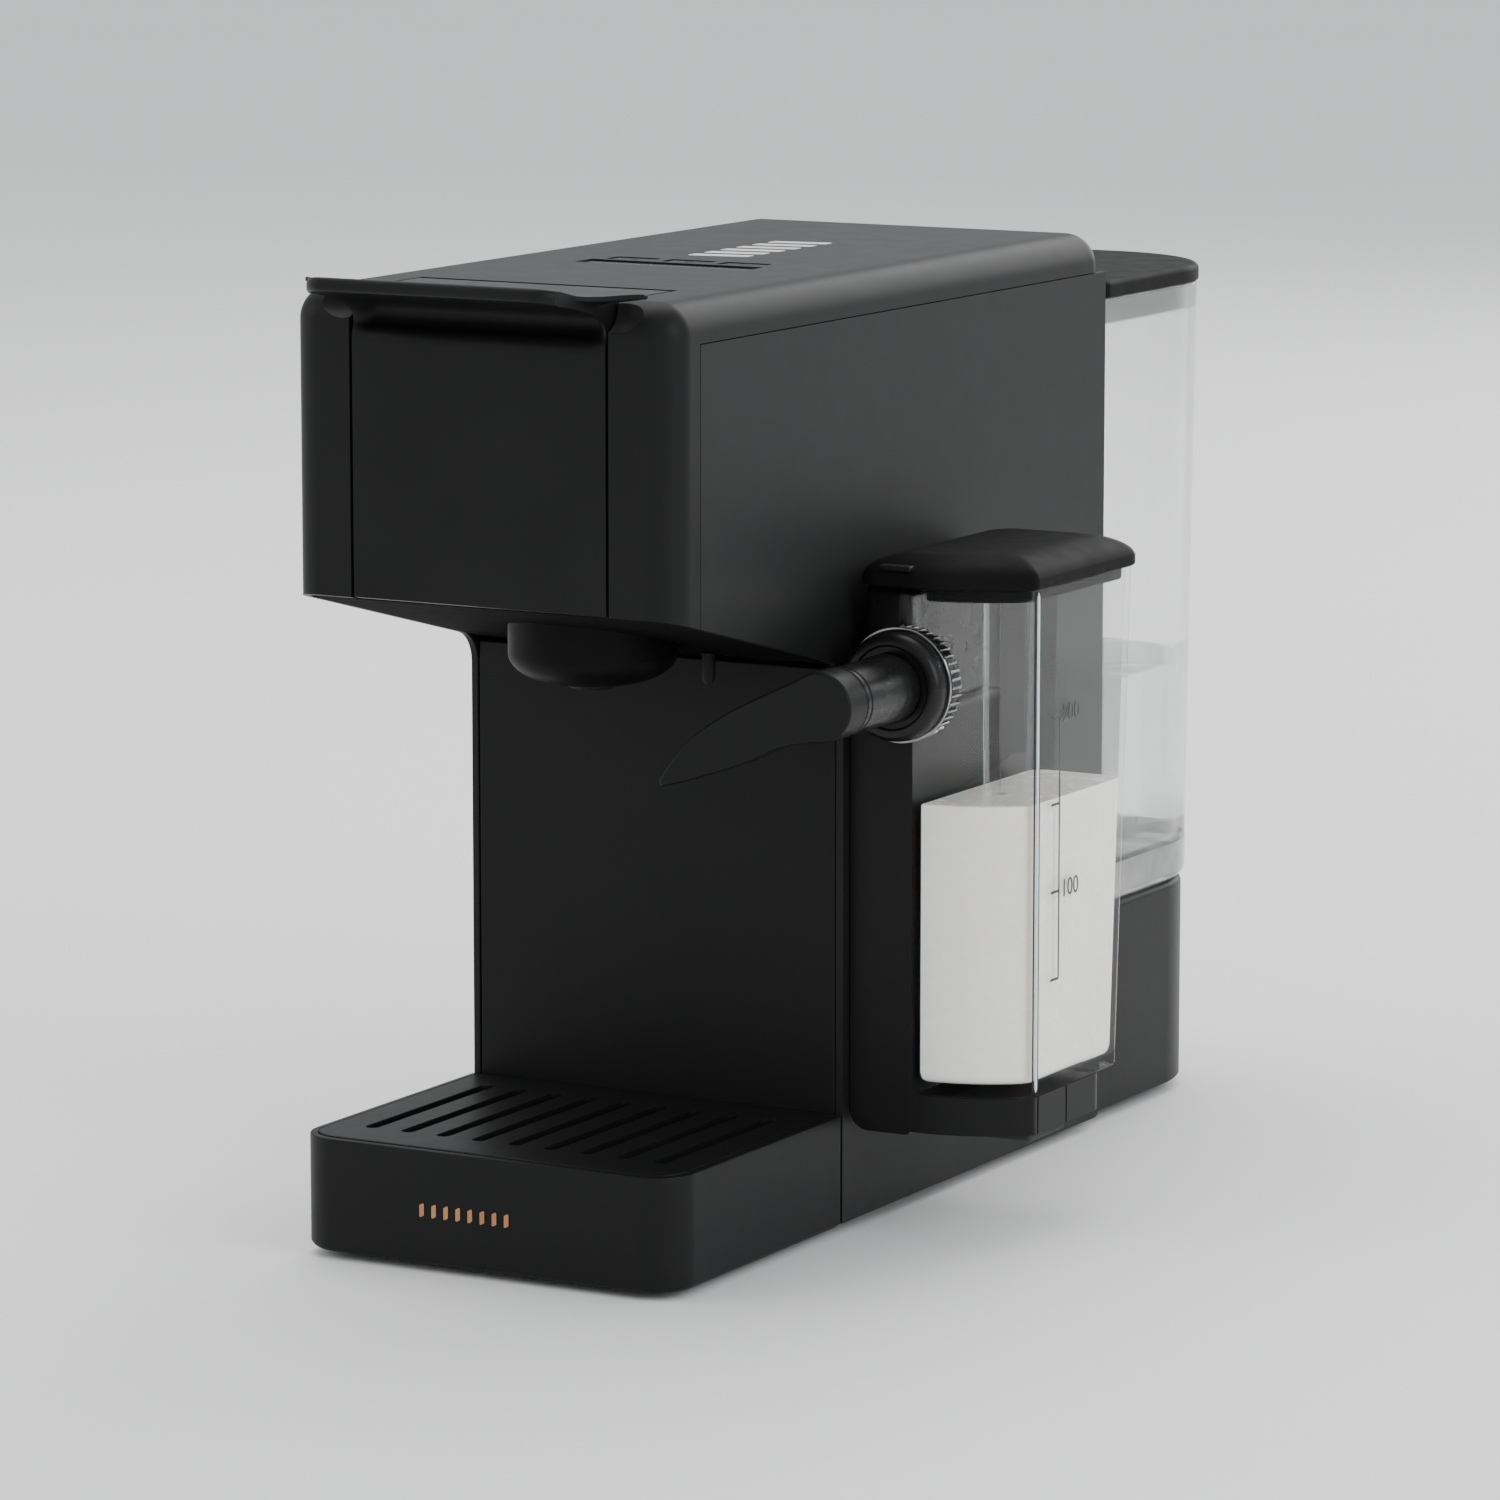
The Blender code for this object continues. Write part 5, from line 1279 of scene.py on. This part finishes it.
def makeJugLid(s):
    outline = roundedOutline([(s["left"], s["front"], 6), (jugShape["left"] + 6, s["front"], 30),
        (s["right"], s["edge"], 2), (s["right"], s["back"], 9), (s["left"], s["back"], 9)], 12)
    levels = [(s["low"], 0.6), (s["low"] + 0.5, 0.05), (s["low"] + 3.0, 0.0),
        (s["low"] + 3.5, 0.25)]
    levels += [(s["low"] + 3.5 + (s["top"] - s["low"] - 3.5) * math.sin(turn),
        0.25 + 12 * (1 - math.cos(turn)) ** 0.8) for turn in (math.pi / 2 * step / 9
        for step in range(1, 10))]
    lid = lofted("jugLid", [[(u, v, z) for u, v in drawnIn(outline, inset)] for z, inset in levels])
    plug = [jugRing(z, inset) for z, inset in ((s["low"] + 0.3, 2.6),
        (s["low"] - s["plug"] + 0.5, 2.6), (s["low"] - s["plug"], 3.1), (s["low"] - s["plug"], 3.8),
        (s["low"] - s["plug"] + 0.5, 4.2), (s["low"] + 0.3, 4.2))]
    skirt = looped("plug", plug)
    tab = roundBox("tab", (72, 82), (96.3, 100), (190.6, 192.2), 0.6, 3)
    done(joined("jugLid", lid, skirt), "jug_cover", "lidBlack", "black_gloss", "jug_lid")
    done(tab, "jug_cover", "sideBlack", "black_gloss")


makeJugLid(jugLidShape)

pipeShape = {"x": 81.3, "z": 159.6, "radius": 9.6, "back": 99.2, "front": 55.5, "bore": 3.0}


def makePipe(s):
    r = s["radius"]
    profile = [(r, s["back"]), (r, 84.6), (r + 0.22, 84.2), (r + 0.22, 79.4), (r, 79.0), (r, 58.4),
        (r - 0.35, 58.1), (r - 0.35, 57.7), (r, 57.4), (r, s["front"] + 0.4), (r - 0.4, s["front"]),
        (s["bore"], s["front"]), (s["bore"], s["back"])]
    done(turned("milkPipe", profile, (s["x"], 0, s["z"]), "Y", 80, ring=True), "jug", "glossBlack",
        "black_gloss", "milk_pipe")


makePipe(pipeShape)

knobShape = {"radius": 15.5, "back": 98.5, "front": 85.5, "bore": 9.9, "ribs": 44}


def makeKnob(s):
    r, depth = s["radius"], s["back"] - s["front"]
    profile = [(r - 0.4, 0), (r, -0.4), (r, -6.2), (r - 0.6, -6.5), (r - 0.6, -7.1), (r, -7.4),
        (r, -depth + 3.2), (r - 0.25, -depth + 1.6), (r - 0.9, -depth + 0.5), (r - 1.8, -depth),
        (s["bore"] + 2.2, -depth), (s["bore"] + 1.6, -depth + 0.5), (s["bore"], -depth + 0.5),
        (s["bore"], 0)]
    centre = (pipeShape["x"], s["back"], pipeShape["z"])
    done(turned("frothKnob", profile, centre, "Y", 96, ring=True), "knob", "glossBlack",
        "black_gloss", "froth_knob")
    # bright grips round the rear half; the tree stands their ring up along Y
    rib = roundBox("rib", (-0.3, 0.75), (-0.42, 0.42), (0.4, 5.8), 0.3, 2)
    done(repeated("knobGrips", "ring", atOrigin(rib), "chrome", Count=s["ribs"], Radius=r * 0.001,
        Centre=place(*centre)), "knob", "chrome", "chrome_trim")
    trim = [(r + 0.9, -6.9), (r + 0.9, -7.3), (r + 0.7, -7.5), (r + 0.2, -7.5), (r + 0.2, -6.7),
        (r + 0.7, -6.7)]
    done(turned("knobTrim", trim, centre, "Y", 96, ring=True), "knob", "chrome", "chrome_trim",
        "knob_trim")


makeKnob(knobShape)

spoutShape = {"hub": 9.8, "front": 44.7, "back": 55.2, "tip": (31.2, 133.6), "brow": (50.0, 154.5)}


def makeSpout(s):
    x, z, r = pipeShape["x"], pipeShape["z"], s["hub"]
    hub = [(x + r * math.cos(turn), z + r * math.sin(turn)) for turn in (2.25 - 3.70 * step / 40
        for step in range(41))]
    tipX, tipZ = s["tip"]
    browX, browZ = s["brow"]
    under = smoothLine([hub[-1], (x - 4.5, z - 10.4), (x - 14, z - 12.9),
        ((x + tipX) / 2, (z + tipZ) / 2 - 5.0), (tipX + 9, tipZ + 2.4), (tipX, tipZ)], 8)[1:]
    over = smoothLine([(tipX - 0.2, tipZ + 2.2), (tipX + 4.0, tipZ + 8.0),
        (tipX + 10.5, tipZ + 15.0), (browX, browZ), (browX + 10, browZ + 5.4), hub[0]], 8)[:-1]
    outline = hub + [tuple(point) for point in under] + [tuple(point) for point in over]
    spout = extruded("milkSpout", outline, "XZ", s["front"], s["back"])
    eased(spout, 2.3, 6, 50)
    scoop = turned("scoop", [(0.0, -11.5), (1.0, -10.6), (1.9, -8), (2.6, -4), (2.8, 0), (2.6, 4),
        (1.9, 8), (1.0, 10.6), (0.0, 11.5)], (0, 0, 0), "X", 32)
    scoop.data.transform(Matrix.Translation(place(61.5, 50.0, 162.2))
        @ Matrix.Rotation(-math.radians(28), 4, "Y") @ Matrix.Translation(-layoutShift))
    carve(spout, scoop)
    done(spout, "spout", "leverBlack", "black_shell", "milk_spout")


makeSpout(spoutShape)
refined("milk_straw", "jug_cover", "clearTank", "clear_plastic", 0.2)
print("milk jug made")

# What the CAD carries by itself

for node, obj in frame["nodes"].items():
    if obj.hide_render:
        continue
    names = [entry["material_slot"] for entry in frame["record"]["subparts"]
        if entry["node"] == node]
    finish = finishes[slotFinish[names[0]]]
    for index in range(len(obj.material_slots)):
        obj.material_slots[index].material = finish
    if not obj.material_slots:
        obj.data.materials.append(finish)
print("inner parts painted")
